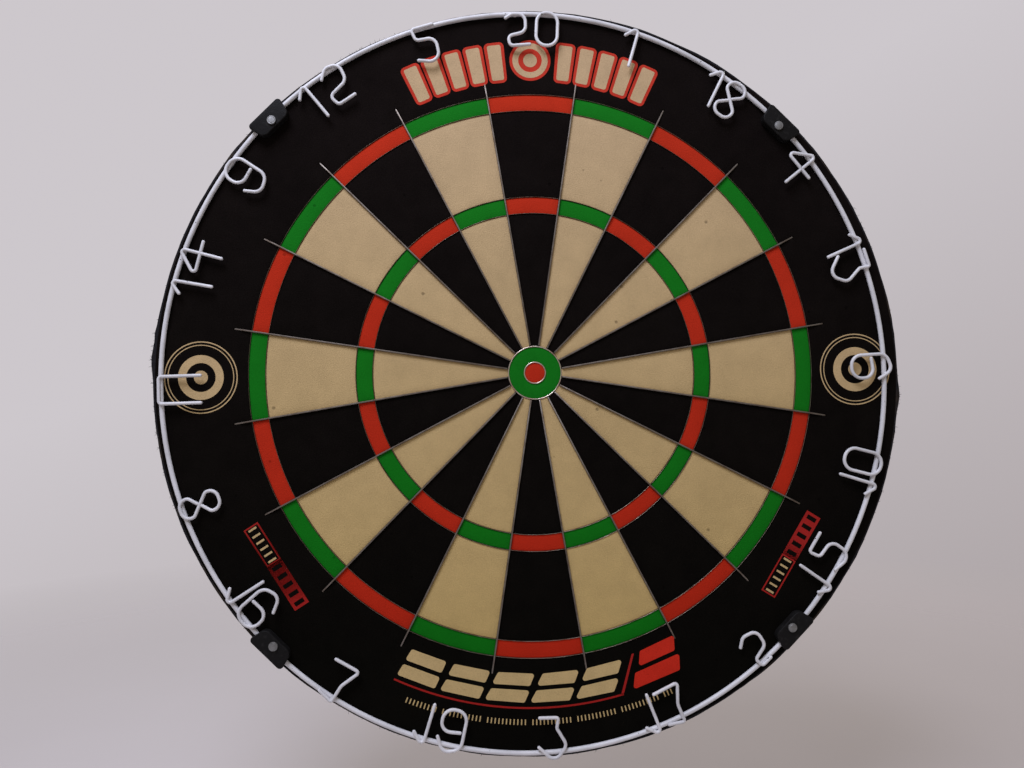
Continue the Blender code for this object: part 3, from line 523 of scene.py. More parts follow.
def plain_mesh(points, faces):
    """A mesh from points in the board frame."""
    mesh = bpy.data.meshes.new("mesh")
    mesh.from_pydata([to_world(point) for point in points], [], faces)
    return mesh


def grid_faces(rows, columns, ring_of_rows=False, ring_of_columns=True):
    """Faces between the points of a grid that is listed row by row."""
    faces = []
    for row in range(rows if ring_of_rows else rows - 1):
        here, there = row * columns, (row + 1) % rows * columns
        for column in range(columns if ring_of_columns else columns - 1):
            after = (column + 1) % columns
            faces.append((here + column, there + column, there + after, here + after))
    return faces


def turned(profile, steps, closed=True, centre=(0, 0), wobble=None):
    """A profile of (radius, z) turned about an axis along z."""
    points = []
    for i in range(steps):
        angle = 2 * pi * i / steps
        for radius, z in profile:
            if wobble:
                radius += wobble(angle, radius, z)
            points.append((*polar(radius, angle, centre), z))
    faces = grid_faces(steps, len(profile), ring_of_rows=True, ring_of_columns=closed)
    return welded(plain_mesh(points, faces), outward=True)


def lofted(sections):
    """A mesh along closed sections with the same number of points, capped at both ends."""
    width = len(sections[0])
    points = [point for section in sections for point in section]
    faces = [tuple(range(width)), tuple(reversed(range(len(points) - width, len(points))))]
    faces += grid_faces(len(sections), width)
    return welded(plain_mesh(points, faces), outward=True)


def evaluated(data, modifier=None, **settings):
    """The mesh that an object made of this mesh or curve shows, with a modifier or without."""
    holder = put_in_scene("holder", data)
    if modifier:
        change(holder.modifiers.new(modifier, modifier), **settings)
    bpy.context.view_layer.update()
    graph = bpy.context.evaluated_depsgraph_get()
    mesh = bpy.data.meshes.new_from_object(holder.evaluated_get(graph), depsgraph=graph)
    bpy.data.objects.remove(holder)
    return mesh


def joined(meshes):
    shape = bmesh.new()
    for mesh in meshes:
        shape.from_mesh(mesh)
    return mesh_of(shape)


def curve_mesh(loops, closed, **settings):
    """The mesh of a curve through these points, with its caps welded."""
    curve = change(bpy.data.curves.new("curve", "CURVE"), **settings)
    for loop in loops:
        spline = curve.splines.new("POLY")
        spline.points.add(len(loop) - 1)
        for knot, point in zip(spline.points, loop):
            knot.co = (*Vector(point).to_3d(), 1)
        spline.use_cyclic_u = closed
    mesh = welded(evaluated(curve))
    bpy.data.curves.remove(curve)
    return mesh


def flat_mesh(loops, half_thickness, rounding=0.0, rounding_steps=2):
    """A filled outline; inner loops are holes. Rounded edges stay inside the outline."""
    return curve_mesh(loops, True, dimensions="2D", fill_mode="BOTH", extrude=half_thickness - rounding,
                      bevel_depth=rounding, bevel_resolution=rounding_steps, offset=-rounding)


def wire_mesh(points, radius, closed=False, sides_level=4):
    return curve_mesh([points], closed, dimensions="3D", bevel_depth=radius, bevel_resolution=sides_level,
                      use_fill_caps=not closed)


def blob_mesh(centre, sizes, turn=0.0):
    """A squashed ball in the board frame."""
    shape = bmesh.new()
    at = Matrix.Translation(centre) @ Matrix.Rotation(turn, 4, "Z") @ Matrix.Diagonal((*sizes, 1))
    bmesh.ops.create_uvsphere(shape, u_segments=12, v_segments=8, radius=1.0, matrix=at)
    return mesh_of(shape)


def cut_mesh(body, at, size):
    """A mesh with a cuboid taken out of it."""
    shape = bmesh.new()
    bmesh.ops.create_cube(shape, size=1.0, matrix=at @ Matrix.Diagonal((*size, 1)))
    tool = put_in_scene("tool", mesh_of(shape))
    mesh = evaluated(body, "BOOLEAN", operation="DIFFERENCE", object=tool, solver="EXACT")
    bpy.data.objects.remove(tool)
    return mesh


def bevelled(node, width, angle=40):
    """A node's own mesh with its flat faces merged and its edges rounded."""
    shape = bmesh.new()
    shape.from_mesh(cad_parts[node].data)
    bmesh.ops.remove_doubles(shape, verts=shape.verts, dist=0.000002)
    bmesh.ops.dissolve_limit(shape, angle_limit=radians(1), verts=shape.verts, edges=shape.edges)
    return evaluated(mesh_of(shape), "BEVEL", width=width, segments=3, limit_method="ANGLE",
                     angle_limit=radians(angle), use_clamp_overlap=True)


# --- the fibre face ---
def hills(x, y, size):
    """Smooth noise between about -1 and 1 over the face."""
    return perlin.noise(Vector((x / size, y / size, 0.37)))


def face_columns(radius):
    """Every column of the face at a radius: its angle and how far it is from the nearest blade."""
    reach = max(radius, BLADE_START)
    beside = [(math.asin(offset / reach), offset) for offset in BESIDE_BLADE]
    columns = []
    for segment in range(SEGMENTS):
        start = radians(360 / SEGMENTS * (segment + 0.5))
        end = start + 2 * pi / SEGMENTS
        free_start, free_end = start + beside[-1][0], end - beside[-1][0]
        columns += [(start + turn, offset) for turn, offset in beside]
        for i in range(1, COLUMNS):
            angle = free_start + (free_end - free_start) * i / COLUMNS
            columns.append((angle, reach * sin(min(angle - start, end - angle))))
        columns += [(end - turn, offset) for turn, offset in reversed(beside)]
    return columns


def face_rows():
    """Rows from the bull to the rim: the radius, the zone between two ring wires and the distance to
    the nearest ring's groove, which is None in the groove."""
    rows = []
    edges = [0.0, *RING_RADII, FIBRE_RIM - RIM_ROUNDING]
    grooves = [FIRST_ROW, *RING_GROOVES, 0.0]
    last = len(RING_RADII)
    for zone in range(last + 1):
        inner, outer = edges[zone] + grooves[zone], edges[zone + 1] - grooves[zone + 1]
        stops = [(inner, outer)]
        if zone == last:
            stops = [(inner, BLADE_END + 0.0003), (BLADE_END + 0.0004, outer)]
        for low, high in stops:
            count = max(3, round((high - low) / ROW_PITCH))
            near = (0.0, 0.1, 0.28) if count > 3 else (0.0, 0.25)
            steps = [s / count for s in near] + even_steps(count)[1:-1]
            steps += [1 - s / count for s in reversed(near)]
            for step in steps:
                radius = low + (high - low) * step
                to_ring = min(radius - inner if zone else 1.0, outer - radius if zone < last else 1.0)
                rows.append((radius, zone, to_ring))
        if zone < last:
            rows.append((outer + GROOVE_LIP, zone, None))
            rows.append((edges[zone + 1] + grooves[zone + 1] - GROOVE_LIP, zone + 1, None))
    return rows


def on_face(radius, angle):
    """A point at a radius about the bull; past the blades the rows turn into circles of the rim."""
    share = max(0.0, (radius - BLADE_END) / (FIBRE_RIM - RIM_ROUNDING - BLADE_END))
    return polar(radius, angle, BULL * (1 - share))


def face_height(x, y, radius, to_ring, to_blade):
    """The fibre swells between the wires and is pressed down beside them."""
    in_slot = to_blade == BLADE_GROOVE and BLADE_START - 0.0006 < radius < BLADE_END + 0.00035
    if to_ring is None or in_slot:
        return FACE - GROOVE_DEPTH
    beside = to_blade - BLADE_GROOVE if BLADE_START < radius < BLADE_END else 1.0
    pressed = SWELL * math.exp(-max(0.0, min(to_ring, beside)) / SWELL_REACH)
    return FACE - pressed - 0.00007 + 0.00005 * hills(x, y, 0.021) + 0.00002 * hills(x, y, 0.005)


def rim_wave(angle):
    """How far the cut fibre edge strays from a circle."""
    around = Vector((cos(angle), sin(angle), 0.0))
    wave = 0.00045 * perlin.noise(around * 9) + 0.00022 * perlin.noise(around * 41)
    for middle, spread, height in BULGES:
        away = (math.degrees(angle) - middle + 180) % 360 - 180
        wave += height * math.exp(-((away / spread) ** 2)) * (0.8 + 0.5 * perlin.noise(around * 60))
    return wave


def edge_rows(angles):
    """Points of the rounded edge, the cut side and the back of the fibre layer, row by row."""
    profile = []
    for turn in (radians(22.5), radians(45), radians(67.5), radians(90)):
        profile.append((FIBRE_RIM - RIM_ROUNDING * (1 - sin(turn)), FACE - RIM_ROUNDING * (1 - cos(turn))))
    profile += [(FIBRE_RIM, FACE - 0.0038), (FIBRE_RIM + 0.0001, BAND_FRONT + 0.0012)]
    rows = []
    for radius, z in profile:
        share = 1 if radius > FIBRE_RIM - 0.001 else 0.4
        rows.append([(*polar(radius + rim_wave(angle) * share, angle), z) for angle in angles])
    for z in (BAND_FRONT + 0.0003, FACE_LAYER_BACK):
        rows.append([(*polar(SISAL_RADIUS, angle), z) for angle in angles])
    return rows


def make_face():
    rows = face_rows()
    points = []
    for radius, _, to_ring in rows:
        for angle, to_blade in face_columns(radius):
            x, y = on_face(radius, angle)
            points.append((x, y, face_height(x, y, radius, to_ring, to_blade)))
    edge = edge_rows([angle for angle, _ in face_columns(FIBRE_RIM)])
    for row in edge:
        points += row
    width = len(edge[0])
    faces = grid_faces(len(rows) + len(edge), width)
    beds = []
    for _, zone, _ in rows[:-1]:
        for column in range(width):
            segment, place = divmod(column, width // SEGMENTS)
            # Painted shade: the floor of every blade's slot is black, whatever the beds beside it, for the
            # dark line under the blade.
            painted_slot_shade = place == width // SEGMENTS - 1 and zone > 1
            beds.append(BLACK if painted_slot_shade else ZONE_BEDS[zone][segment % 2])
    beds += [EDGE] * (len(faces) - len(beds))
    middle, back = len(points), len(points) + 1
    points += [(BULL.x, BULL.y, FACE), (0, 0, FACE_LAYER_BACK)]
    last = back - 1 - width
    for column in range(width):
        after = (column + 1) % width
        faces += [(middle, column, after), (back, last + after, last + column)]
        beds += [RED, EDGE]
    mesh = plain_mesh(points, faces)
    finishes = (CREAM, BLACK, RED, GREEN, EDGE)
    for finish in finishes:
        mesh.materials.append(finish)
    mesh.polygons.foreach_set("material_index", [finishes.index(bed) for bed in beds])
    add_piece("fibre_face", mesh, "board", ["sisal_face"], smooth_angle=40)


def make_frayed_fibres():
    """Loose strands that stand out of the cut edge, mostly in a few tufts."""
    chance = random.Random(11)
    points, faces = [], []
    for _ in range(STRANDS):
        if chance.random() < 0.62:
            angle = radians(chance.gauss(*chance.choice(TUFTS)))
        else:
            angle = chance.uniform(0, 2 * pi)
        z = chance.uniform(BAND_FRONT + 0.0008, FACE - 0.0009)
        root = Vector((*polar(FIBRE_RIM + rim_wave(angle) - 0.0004, angle), z))
        out = Vector((cos(angle), sin(angle), 0))
        along = Vector((-sin(angle), cos(angle), 0))
        lean = along * chance.uniform(-0.9, 0.9) + Vector((0, 0, chance.uniform(-0.6, 0.5)))
        length = chance.uniform(0.0008, 0.0020)
        middle = root + (out * 0.75 + lean * 0.5) * length
        tip = middle + (out * chance.uniform(0.0, 0.5) + lean) * length * 0.8
        add_strand(points, faces, root, middle, tip, along, chance.uniform(0.00008, 0.00015))
    add_piece("frayed_fibres", welded(plain_mesh(points, faces), outward=True), "board", finish=EDGE)


def add_strand(points, faces, root, middle, tip, along, radius):
    """A tapering three-sided fibre through three points."""
    up = Vector((0, 0, 1))
    first = len(points)
    for centre, size in ((root, radius), (middle, radius * 0.8)):
        for i in range(3):
            angle = 2 * pi * i / 3
            points.append(centre + (along * cos(angle) + up * sin(angle)) * size)
    points.append(tip)
    faces.append((first + 2, first + 1, first))
    for i, after in ((first, first + 1), (first + 1, first + 2), (first + 2, first)):
        faces += [(i, after, after + 3, i + 3), (i + 3, after + 3, first + 6)]


# --- printed marks ---
def bent_path(corners):
    """Points along straight runs joined by arcs at their corners, each an (x, y, bend radius)."""
    path = []
    for i, (x, y, bend) in enumerate(corners):
        corner = Vector((x, y))
        if bend == 0:
            path.append(corner)
            continue
        before = (Vector(corners[i - 1][:2]) - corner).normalized()
        after = (Vector(corners[(i + 1) % len(corners)][:2]) - corner).normalized()
        half = before.angle(after) / 2
        centre = corner + (before + after).normalized() * bend / sin(half)
        start = corner + before * bend / math.tan(half) - centre
        turn = math.copysign(pi - 2 * half, -before.cross(after))
        steps = max(2, math.ceil(abs(turn) / ARC_STEP))
        path += [centre + Matrix.Rotation(turn * step / steps, 2) @ start for step in range(steps + 1)]
    return path


def block(centre, low, high, start, end, slant=0.0, bend=0.0012, grow=0.0):
    """A rounded block on an arc about a centre: its two radii, its two angles and how far it leans."""
    start, end = start - grow / low, end + grow / low
    low, high = low - grow, high + grow
    corners = ((low, start), (high, start + slant), (high, end + slant), (low, end))
    return bent_path([(*polar(radius, angle, centre), bend + grow) for radius, angle in corners])


def strip(centre, low, high, start, end):
    """A thin band along an arc."""
    return arc(centre, high, start, end, 40) + arc(centre, low, end, start, 40)


def ring(centre, low, high):
    return [circle(high, 96, centre), circle(low, 96, centre)]


def head_marks():
    """Above the 20: a small target with five upright bars on each side, outlined in red."""
    middle = (BULL.x, BULL.y + HEAD_FOOT - HEAD_ARC)
    target = (BULL.x, BULL.y + HEAD_FOOT + 0.0112)
    cream = [*ring(target, 0.0072, 0.0108), circle(0.0042, 48, target)]
    red = [circle(0.0126, 96, target)]
    width, height = HEAD_BAR
    for side in (-1, 1):
        for i in range(5):
            angle = pi / 2 - side * (0.0196 + 0.0117 * i) / HEAD_ARC
            half = width / 2 / HEAD_ARC
            bar = (middle, HEAD_ARC, HEAD_ARC + height, angle - half, angle + half)
            cream.append(block(*bar))
            red.append(block(*bar, grow=OUTLINE))
    return cream, red


def foot_marks():
    """Below the 3: pairs of leaning bars, a slash, a larger red pair, a line and a row of fine ticks."""

    def bar(low, high, start, end, slant=0.0, bend=0.0014):
        return block(BULL, low, high, radians(start), radians(end), radians(slant), bend)

    cream = []
    for i in range(5):
        lean = -0.3 - 0.3 * i
        start = -115.2 + 8.2 * i
        cream.append(bar(0.1790, 0.1862, start - lean, start + 7.0 - lean, lean))
        cream.append(bar(0.1888, 0.1960, start, start + 7.0, lean))
    red = [bar(0.1780, 0.1864, -70.2, -62.9, -1.2), bar(0.1892, 0.1982, -72.4, -63.6, -1.2)]
    dark_red = [
        bar(0.1780, 0.1985, -71.9, -71.4, -3.9, 0.0002),
        strip(BULL, 0.1985, 0.1996, radians(-115.6), radians(-75.4)),
    ]
    for i in range(73):
        if i % 12 != 9:
            start = -112.4 + 0.62 * i
            cream.append(bar(0.2057, 0.2090, start, start + 0.2, bend=0.0002))
    return cream, red, dark_red


def roundel_marks():
    """Rings round the 11 and the 6."""
    loops = []
    for x, y, radius in ROUNDELS:
        place = (BULL.x + x, BULL.y + y)
        for low, high in ((0.968, 1.0), (0.88, 0.905), (0.40, 0.62)):
            loops += ring(place, radius * low, radius * high)
        loops.append(circle(radius * 0.19, 40, place))
    return loops


def badge_marks(side, outlined, filled):
    """A leaning label in two halves: one outlined with pale bars, one filled with dark bars. A half
    is the share of the label's length where it starts and where it ends."""
    top = Vector((BULL.x + side * LABEL_TOP[0], BULL.y + LABEL_TOP[1]))
    foot = Vector((BULL.x + side * LABEL_FOOT[0], BULL.y + LABEL_FOOT[1]))
    length = (foot - top).length
    along = (foot - top) / length
    across = Vector((-along.y, along.x))

    def panel(start, end, half):
        spots = ((start, -half), (start, half), (end, half), (end, -half))
        return [top + along * length * a + across * b for a, b in spots]

    def bars(part, count, width, half):
        low, high = part
        places = [low + (high - low) * (i + 0.5) / count for i in range(count)]
        return [panel(place - width / 2 / length, place + width / 2 / length, half) for place in places]

    inset = LABEL_FRAME / length
    label = [
        panel(*outlined, LABEL_HALF_WIDTH),
        panel(outlined[0] + inset, outlined[1] - inset, LABEL_HALF_WIDTH - LABEL_FRAME),
        panel(*filled, LABEL_HALF_WIDTH),
    ]
    return bars(outlined, 6, 0.0012, 0.0026), label, bars(filled, 5, 0.0026, 0.0030)


def make_prints():
    """Thin ink on the black surround; pale and dark marks lie over the red ones."""
    cream, red = head_marks()
    foot_cream, foot_red, dark_red = foot_marks()
    cream += foot_cream + roundel_marks()
    red += foot_red
    black = []
    for side, outlined, filled in ((-1, (0.0, 0.46), (0.46, 1.0)), (1, (0.54, 1.0), (0.0, 0.54))):
        pale, label, dark = badge_marks(side, outlined, filled)
        cream += pale
        dark_red += label
        black += dark
    layers = (
        ("cream_print", cream, 2, CREAM_INK), ("red_print", red, 1, RED_INK),
        ("dark_red_print", dark_red, 1, DARK_RED_INK), ("black_print", black, 2, BLACK_INK),
    )
    for name, loops, layer, finish in layers:
        mesh = flat_mesh(loops, INK / 2)
        mesh.transform(BOARD_FRAME @ Matrix.Translation((0, 0, FACE + INK * layer)))
        add_piece(name, mesh, "board", finish=finish)


# --- wires of the face ---
def make_ring_wires():
    """Wedges with a narrow crest; the two rings of the bull are rounder and brighter."""
    for i, (name, radius) in enumerate(zip(RING_NAMES, RING_RADII)):
        if i < 2:
            section = [(-0.45, -3.0), (-0.43, -0.15), (-0.36, 0.12), (-0.2, 0.3), (0.0, 0.35)]
        else:
            section = [(-0.45, -3.0), (-0.19, -0.6), (-0.11, 0.18), (-0.06, 0.31), (0.0, 0.35)]
        section += [(-x, z) for x, z in reversed(section[:-1])]
        profile = [(radius + x / 1000, FACE + z / 1000) for x, z in section]
        mesh = turned(profile, 288 if i > 1 else 128, centre=BULL)
        add_piece(f"{name}_wire", mesh, "board", [name], BULL_STEEL if i < 2 else WIRE_STEEL)


def blade_stations():
    """Along a blade: its radius, the height of its crest and of its lower edge above the face."""
    low = -WIRE_DEPTH - 0.0002
    roof = RING_CREST + 0.0003
    stations = [(BLADE_START, BLADE_CREST - 0.0005, low), (BLADE_START + 0.0008, BLADE_CREST, low)]
    for radius in RING_RADII[2:]:
        start, end = radius - BLADE_CLEARANCE, radius + BLADE_CLEARANCE
        for spot, under in ((start - 0.00001, low), (start, roof), (end, roof), (end + 0.00001, low)):
            stations.append((spot, BLADE_CREST, under))
    bend = ((0.0085, 0.0012), (0.006, 0.00095), (0.0035, 0.0004), (0.0015, 0.00005), (0.0, -0.0004))
    return stations + [(BLADE_END - back, crest, low) for back, crest in bend]


def make_blades():
    """Thin strips on edge with a rounded crest, their outer ends bent down into the fibre."""
    half = BLADE_HALF_WIDTH
    crown = ((-half, 0.00022), (-0.72 * half, 0.00006), (0.0, 0.0), (0.72 * half, 0.00006), (half, 0.00022))
    for k in range(SEGMENTS):
        angle = radians(90 - 360 / SEGMENTS * (k + 0.5))
        sections = []
        for radius, crest, low in blade_stations():
            outline = [(-half, low), *((across, crest - drop) for across, drop in crown), (half, low)]
            x, y = polar(radius, angle, BULL)
            sections.append([
                (x - across * sin(angle), y + across * cos(angle), FACE + z) for across, z in outline
            ])
        name = f"blade_{k + 1:02d}"
        add_piece(name, lofted(sections), "board", [f"radial_{name}"], BLADE_STEEL)


# --- the number ring ---
def hoop_point(angle):
    """The hoop's centre line where a ray from the bull at this angle crosses it."""
    ray = Vector((cos(angle), sin(angle)))
    a, b = HOOP_HALF_WIDTH, HOOP_HALF_HEIGHT
    start = Vector((-HOOP_CENTRE[0], -HOOP_CENTRE[1]))
    square = (ray.x / a) ** 2 + (ray.y / b) ** 2
    cross = start.x * ray.x / a**2 + start.y * ray.y / b**2
    rest = (start.x / a) ** 2 + (start.y / b) ** 2 - 1
    reach = (-cross + math.sqrt(cross**2 - square * rest)) / square
    return Vector((reach * ray.x, reach * ray.y))


def digit_frame(angle, place_mm, lean, feet_out):
    """A function from the digit's own millimetres to the board frame."""
    angle -= place_mm / 1000 / HOOP_HALF_HEIGHT
    out = Vector((cos(angle), sin(angle)))
    across = Vector((sin(angle), -cos(angle)))
    base = hoop_point(angle) + out * DIGIT_OVERHANG + Vector(DIGIT_SHIFT)
    leaning = Matrix.Rotation(-radians(lean), 2)
    side, foot = (-1, 0) if feet_out else (1, DIGIT_HEIGHT)

    def to_board(point):
        x, y = leaning @ Vector((point[0] / 1000, point[1] / 1000 - foot))
        spot = base + side * (across * x + out * y)
        return (spot.x, spot.y, DIGIT_Z)

    return to_board


def over_hoop(x, y):
    """Whether a point lies over the hoop's wire."""
    share = math.hypot((x - HOOP_CENTRE[0]) / HOOP_HALF_WIDTH, (y - HOOP_CENTRE[1]) / HOOP_HALF_HEIGHT)
    return abs(share - 1) * HOOP_HALF_HEIGHT < 0.0011


def weld_places(points, closed):
    """The middle of each stretch of a wire that lies over the hoop, to half a millimetre."""
    ends = points[1:] + points[:1] if closed else points[1:]
    places, run = [], []
    for start, end in zip(points, ends):
        start, end = Vector(start), Vector(end)
        steps = math.ceil((end - start).length / 0.0005)
        for spot in [start.lerp(end, step / steps) for step in range(steps)]:
            if over_hoop(spot.x, spot.y):
                run.append(spot)
            elif run:
                places.append(run[len(run) // 2])
                run = []
    return places + ([run[len(run) // 2]] if run else [])


def digit_wires(digit, to_board):
    """The bent wire of a digit with rounded ends and a weld where it meets the hoop."""
    closed = digit.endswith("0")
    points = [to_board(point) for point in bent_path(DIGITS[digit])]
    meshes = [wire_mesh(points, DIGIT_WIRE, closed)]
    if not closed:
        meshes += [blob_mesh(end, (DIGIT_WIRE,) * 3) for end in (points[0], points[-1])]
    for x, y, z in weld_places(points, closed):
        meshes.append(blob_mesh((x, y, z - WELD[2]), WELD, math.atan2(y, x)))
    return meshes


def make_number_ring():
    hoop = [
        (HOOP_CENTRE[0] + HOOP_HALF_WIDTH * x, HOOP_CENTRE[1] + HOOP_HALF_HEIGHT * y, HOOP_Z)
        for x, y in circle(1, 240)
    ]
    meshes = [wire_mesh(hoop, HOOP_WIRE, closed=True, sides_level=5)]
    for k, digits in enumerate(NUMBERS):
        middle = radians(90 - 360 / SEGMENTS * k)
        for digit, place_mm, lean in digits:
            meshes += digit_wires(digit, digit_frame(middle, place_mm, lean, k in FEET_OUT))
    mesh = joined(meshes)
    mesh.transform(BOARD_FRAME)
    add_piece("painted_number_ring", mesh, "number_ring", ["number_ring"], RING_PAINT, 60)


# --- clips ---
def clip_outline():
    """D shape in the clip's frame: x along the rim, y outwards, the pin at the origin."""
    outer = CLIP_LENGTH / 2 - CLIP_CORNER
    inner = CLIP_LENGTH / 2 - CLIP_TAPER - CLIP_INNER_CORNER
    top, foot = CLIP_OUTSIDE - CLIP_CORNER, CLIP_INNER_CORNER - CLIP_INSIDE
    corners = (
        (outer, top, CLIP_CORNER, 6), (-outer, top, CLIP_CORNER, 6),
        (-inner, foot, CLIP_INNER_CORNER, 9), (inner, foot, CLIP_INNER_CORNER, 9),
    )
    points = []
    for i, (x, y, bend, steps) in enumerate(corners):
        points += arc((x, y), bend, i * pi / 2, (i + 1) * pi / 2, steps)
    return points


def make_clips():
    """Moulded clips with rounded edges and a channel for the hoop, each held by a domed pin."""
    high, low = depths("number_clip_1")
    channel = (2 * CLIP_LENGTH, 2 * CHANNEL_HALF_WIDTH, 2 * (HOOP_Z + HOOP_WIRE + 0.0003 - low))
    channel_place = Matrix.Translation((0, PIN_TO_HOOP, -(high - low) / 2))
    for k, angle in enumerate(CLIP_ANGLES):
        hoop = hoop_point(radians(angle))
        spot = hoop * (1 - PIN_TO_HOOP / hoop.length)
        turn = Matrix.Rotation(radians(angle - 90), 4, "Z")
        body = flat_mesh([clip_outline()], (high - low) / 2, CLIP_ROUNDING, 3)
        mesh = cut_mesh(body, channel_place, channel)
        mesh.transform(BOARD_FRAME @ Matrix.Translation((*spot, (low + high) / 2)) @ turn)
        name, node = f"clip_body_{k + 1}", f"number_clip_{k + 1}"
        add_piece(name, mesh, "board", [node], CLIP_PLASTIC, 50)
        make_pin(f"pressed_pin_{k + 1}", f"clip_pin_{k + 1}", spot)


def make_pin(name, node, spot):
    """A pressed pin: a shallow dome with a rolled edge round it."""
    top, tip = depths(node)
    radius = radius_of(node)
    head = (
        (0, 0), (0.45, 0.00003), (0.66, 0.0001), (0.74, 0.0003), (0.84, 0.00025), (0.95, 0.0004), (1, 0.0008),
        (0.97, PIN_HEAD_HEIGHT),
    )
    profile = [(radius * share, top - drop) for share, drop in head]
    profile += [(PIN_RADIUS, top - PIN_HEAD_HEIGHT), (PIN_RADIUS, tip + 0.002), (0, tip)]
    mesh = turned(profile, 40, closed=False, centre=spot)
    add_piece(name, mesh, "board", [node], PIN_STEEL)


# --- the rim and the back ---
def with_mirror(half, total):
    """Half a profile and its mirror image; the heights of a point and its image add up to the total."""
    return half + [(radius, total - z) for radius, z in reversed(half)]


def make_rim_band():
    """Steel strip with a raised bead along both edges."""
    bead, step, bend, thickness = 0.0017, 0.00016, 0.0003, 0.0008
    corners = ((thickness, 0.0), (bend, 0.0), (0.0, bend), (0.0, bead), (step, bead + 0.0004))
    half = [(BAND_RADIUS - inside, BAND_FRONT - back) for inside, back in corners]
    mesh = turned(with_mirror(half, BAND_BACK + BAND_FRONT), 288)
    add_piece("steel_band", mesh, "board", ["rim_band"], BAND_PAINT)


def make_band_seal():
    """A plate pressed round the band's joint, with two rows of three crimps."""
    low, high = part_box("band_seal")
    width, depth = high.x - low.x, high.y - low.y
    radius = BAND_RADIUS + 0.0003
    crimps = [(across, along) for across in (0.2, 0.5, 0.8) for along in (0.14, 0.86)]
    sections = []
    for across in even_steps(48):
        x = low.x + width * across
        inside = -math.sqrt(radius**2 - x**2)
        edge = min(across, 1 - across) * width
        top, bottom = [], []
        for along in even_steps(24):
            reaches = [
                math.hypot((across - x_share) * width / 0.0018, (along - y_share) * depth / 0.0024)
                for x_share, y_share in crimps
            ]
            dent = math.exp(-min(reaches) ** 2)
            thickness = 0.0008 - 0.00045 * dent - 0.0003 * max(0.0, 1 - edge / 0.0005)
            z = -(low.y + depth * along)
            top.append((x, inside - thickness, z))
            bottom.append((x, inside, z))
        sections.append(top + bottom[::-1])
    add_piece("crimped_seal", lofted(sections), "board", ["band_seal"], SCREW_STEEL)


def make_backing_board():
    """The particle board disc with a small chamfer and a slightly chipped edge."""

    def chipped(angle, radius, z):
        if radius < SISAL_RADIUS - 0.002 or z > BOARD_BACK + 0.002:
            return 0.0
        around = Vector((cos(angle), sin(angle), z * 40))
        return -0.0007 * max(0.0, perlin.noise(around * 17) - 0.18)

    profile = [
        (BACKING_HOLE, BACKING_FRONT), (SISAL_RADIUS, BACKING_FRONT), (SISAL_RADIUS, BOARD_BACK + 0.0009),
        (SISAL_RADIUS - 0.0003, BOARD_BACK + 0.0003), (SISAL_RADIUS - 0.0009, BOARD_BACK),
        (SISAL_RADIUS - 0.003, BOARD_BACK), (BACKING_HOLE + 0.0004, BOARD_BACK),
        (BACKING_HOLE, BOARD_BACK + 0.0004),
    ]
    mesh = turned(profile, 320, wobble=chipped)
    add_piece("chipboard_disc", mesh, "board", ["backing_board"], CHIPBOARD)


def make_screw(node, name, sizes, steps):
    """A screw whose domed head, with a cross slot, is on the wall's side."""
    head_radius, head_height, shank_radius = sizes
    spot = middle_of(node)
    tip, back = depths(node)
    dome = [(0.0, 0.0), (0.45, 0.02), (0.70, 0.16), (0.88, 0.42), (0.97, 0.68), (1.0, 0.88), (0.97, 1.0)]
    profile = [(head_radius * r, back + head_height * h) for r, h in dome]
    profile += [(shank_radius, back + head_height), (shank_radius, tip - SCREW_POINT), (0.0, tip)]
    mesh = turned(profile, steps, closed=False, centre=spot)
    length = head_radius * 1.12
    for turn, depth in ((0.5, 0.62), (0.5 + pi / 2, 0.58)):
        at = BOARD_FRAME @ Matrix.Translation((*spot, back)) @ Matrix.Rotation(turn, 4, "Z")
        mesh = cut_mesh(mesh, at, (length, length * 0.21, 2 * head_height * depth))
    add_piece(name, mesh, "board", [node], SCREW_STEEL)


def make_hanging_parts():
    make_screw("hanging_screw", "hanging_screw_body", HANGING_SCREW, 48)
    bracket = bevelled("wall_bracket", 0.0006)
    add_piece("pressed_bracket", bracket, "bracket", ["wall_bracket"], BRACKET_PAINT, 45)
    front, back = depths("hanging_washer")
    half = [(WASHER_HOLE, front - WASHER_EDGE), (WASHER_HOLE + WASHER_EDGE, front),
            (WASHER_RADIUS - WASHER_EDGE, front), (WASHER_RADIUS, front - WASHER_EDGE)]
    mesh = turned(with_mirror(half, front + back), 64)
    add_piece("turned_washer", mesh, "hanger", ["hanging_washer"], SCREW_STEEL)


def make_levellers():
    """Rounded housings, toothed wheels and feet, and the housings' screws."""
    for k in range(1, 4):
        for node, name, body, width, angle in (
            ("housing", "housing", "board", 0.0008, 40),
            ("wheel", "thumb_wheel", f"wheel_{k}", 0.0003, 30),
            ("foot", "foot_pad", f"foot_{k}", 0.0004, 40),
        ):
            node = f"leveller_{node}_{k}"
            mesh = bevelled(node, width, angle)
            add_piece(f"{name}_{k}", mesh, body, [node], LEVELLER_PLASTIC, 45)
    for k in range(1, 7):
        make_screw(f"leveller_screw_{k}", f"pan_head_screw_{k}", SMALL_SCREW, 32)


def finish_rear_core():
    """The core is wrapped by the face, the band and the backing, so it stays as it is."""
    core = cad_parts["sisal_rear_core"]
    core.data.materials.clear()
    core.data.materials.append(CORE)


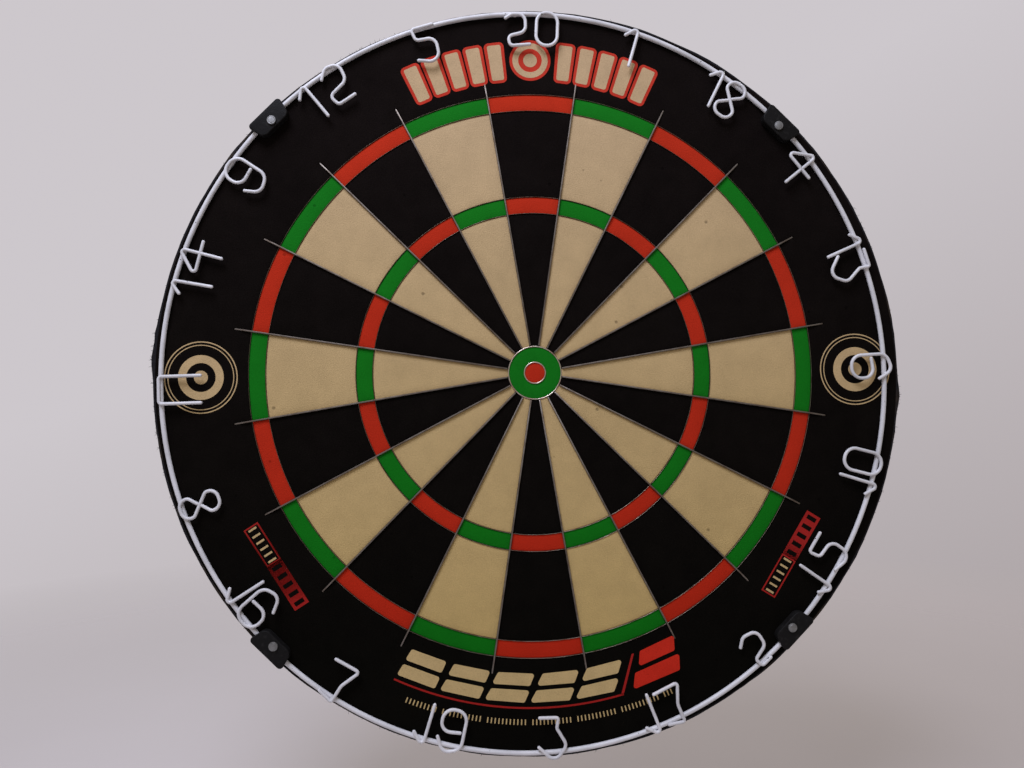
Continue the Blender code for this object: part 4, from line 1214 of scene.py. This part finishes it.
# --- camera, lights and floor ---
def make_camera():
    data = change(bpy.data.cameras.new("camera"), lens=CAMERA_LENS, sensor_width=36, clip_start=0.01)
    camera = put_in_scene("camera", data)
    camera.matrix_world = (
        Matrix.Translation(CAMERA_PLACE)
        @ Matrix.Rotation(radians(CAMERA_TURN), 4, "Z")
        @ Matrix.Rotation(radians(CAMERA_TILT), 4, "X")
        @ Matrix.Rotation(radians(CAMERA_ROLL), 4, "Y")
        @ Matrix.Rotation(pi / 2, 4, "X")
    )
    bpy.context.scene.camera = camera


def make_light(name, place, size, power, colour):
    """A round lamp that points at the model's origin."""
    data = change(bpy.data.lights.new(name, "AREA"), shape="DISK", size=size, energy=power, color=colour)
    towards = (-Vector(place)).to_track_quat("-Z", "Y").to_euler()
    change(put_in_scene(name, data), location=place, rotation_euler=towards, visible_camera=False)


def make_world():
    """Soft light from all round: pale and cool above and to the left, warmer below, dimmer in front."""
    world = bpy.data.worlds.new("studio")
    bpy.context.scene.world = world
    sky = Nodes(world, "Generated")

    def share(direction, low, high):
        slope = sky.math("DOT_PRODUCT", sky.place, direction, "ShaderNodeVectorMath")
        return sky.remap(slope, low, high)

    backdrop = sky.blend(share((-0.43, 0.0, 1.0), -0.72, 0.20), (0.355, 0.310, 0.310), (0.610, 0.575, 0.605))
    front = sky.blend(share((-0.2, 0.0, 1.0), -0.8, 0.8), (0.245, 0.215, 0.175), (0.350, 0.335, 0.320))
    colour = sky.blend(share((0.0, 1.0, 0.0), -0.35, 0.50), front, backdrop)
    sky.feed(sky.tree.nodes["Background"].inputs["Color"], colour)


def make_floor():
    """A pale round floor with painted shade, darker towards +X, that fades out before its edge."""
    shape = bmesh.new()
    bmesh.ops.create_circle(shape, cap_ends=True, segments=96, radius=FLOOR_RADIUS)
    mesh = mesh_of(shape)
    floor = put_in_scene("floor", mesh)
    floor.location = (0, 0, FLOOR_HEIGHT)
    finish = Finish("floor_paint", 0.9, specular=0.2)
    distance = finish.math("LENGTH", finish.place, (0.0, 0.0, 0.0), "ShaderNodeVectorMath")
    finish.set("Alpha", finish.remap(distance, 0.25 * FLOOR_RADIUS, 0.98 * FLOOR_RADIUS, 1.0, 0.0))
    cloud = finish.patches(0.4, 3.0, 0.3, 0.7, 0.97, 1.03)
    # Painted shade: the floor's colour darkens towards +X.
    side = finish.remap(finish.axis("X"), -0.35, 0.35)
    finish.paint(finish.darken(finish.blend(side, (0.53, 0.50, 0.51), (0.42, 0.38, 0.37)), cloud))
    mesh.materials.append(finish.material)


bpy.context.scene.view_settings.view_transform = "Standard"
make_camera()
make_world()
make_light("key", (-0.3, -0.62, 0.85), 0.55, 9.4, (0.78, 0.82, 1.0))
make_light("rear", (0.9, 1.5, 1.1), 1.1, 20, (1.0, 0.98, 0.95))
make_floor()
make_face()
make_frayed_fibres()
make_ring_wires()
make_blades()
make_number_ring()
make_clips()
make_prints()
make_rim_band()
make_band_seal()
make_backing_board()
make_hanging_parts()
make_levellers()
finish_rear_core()
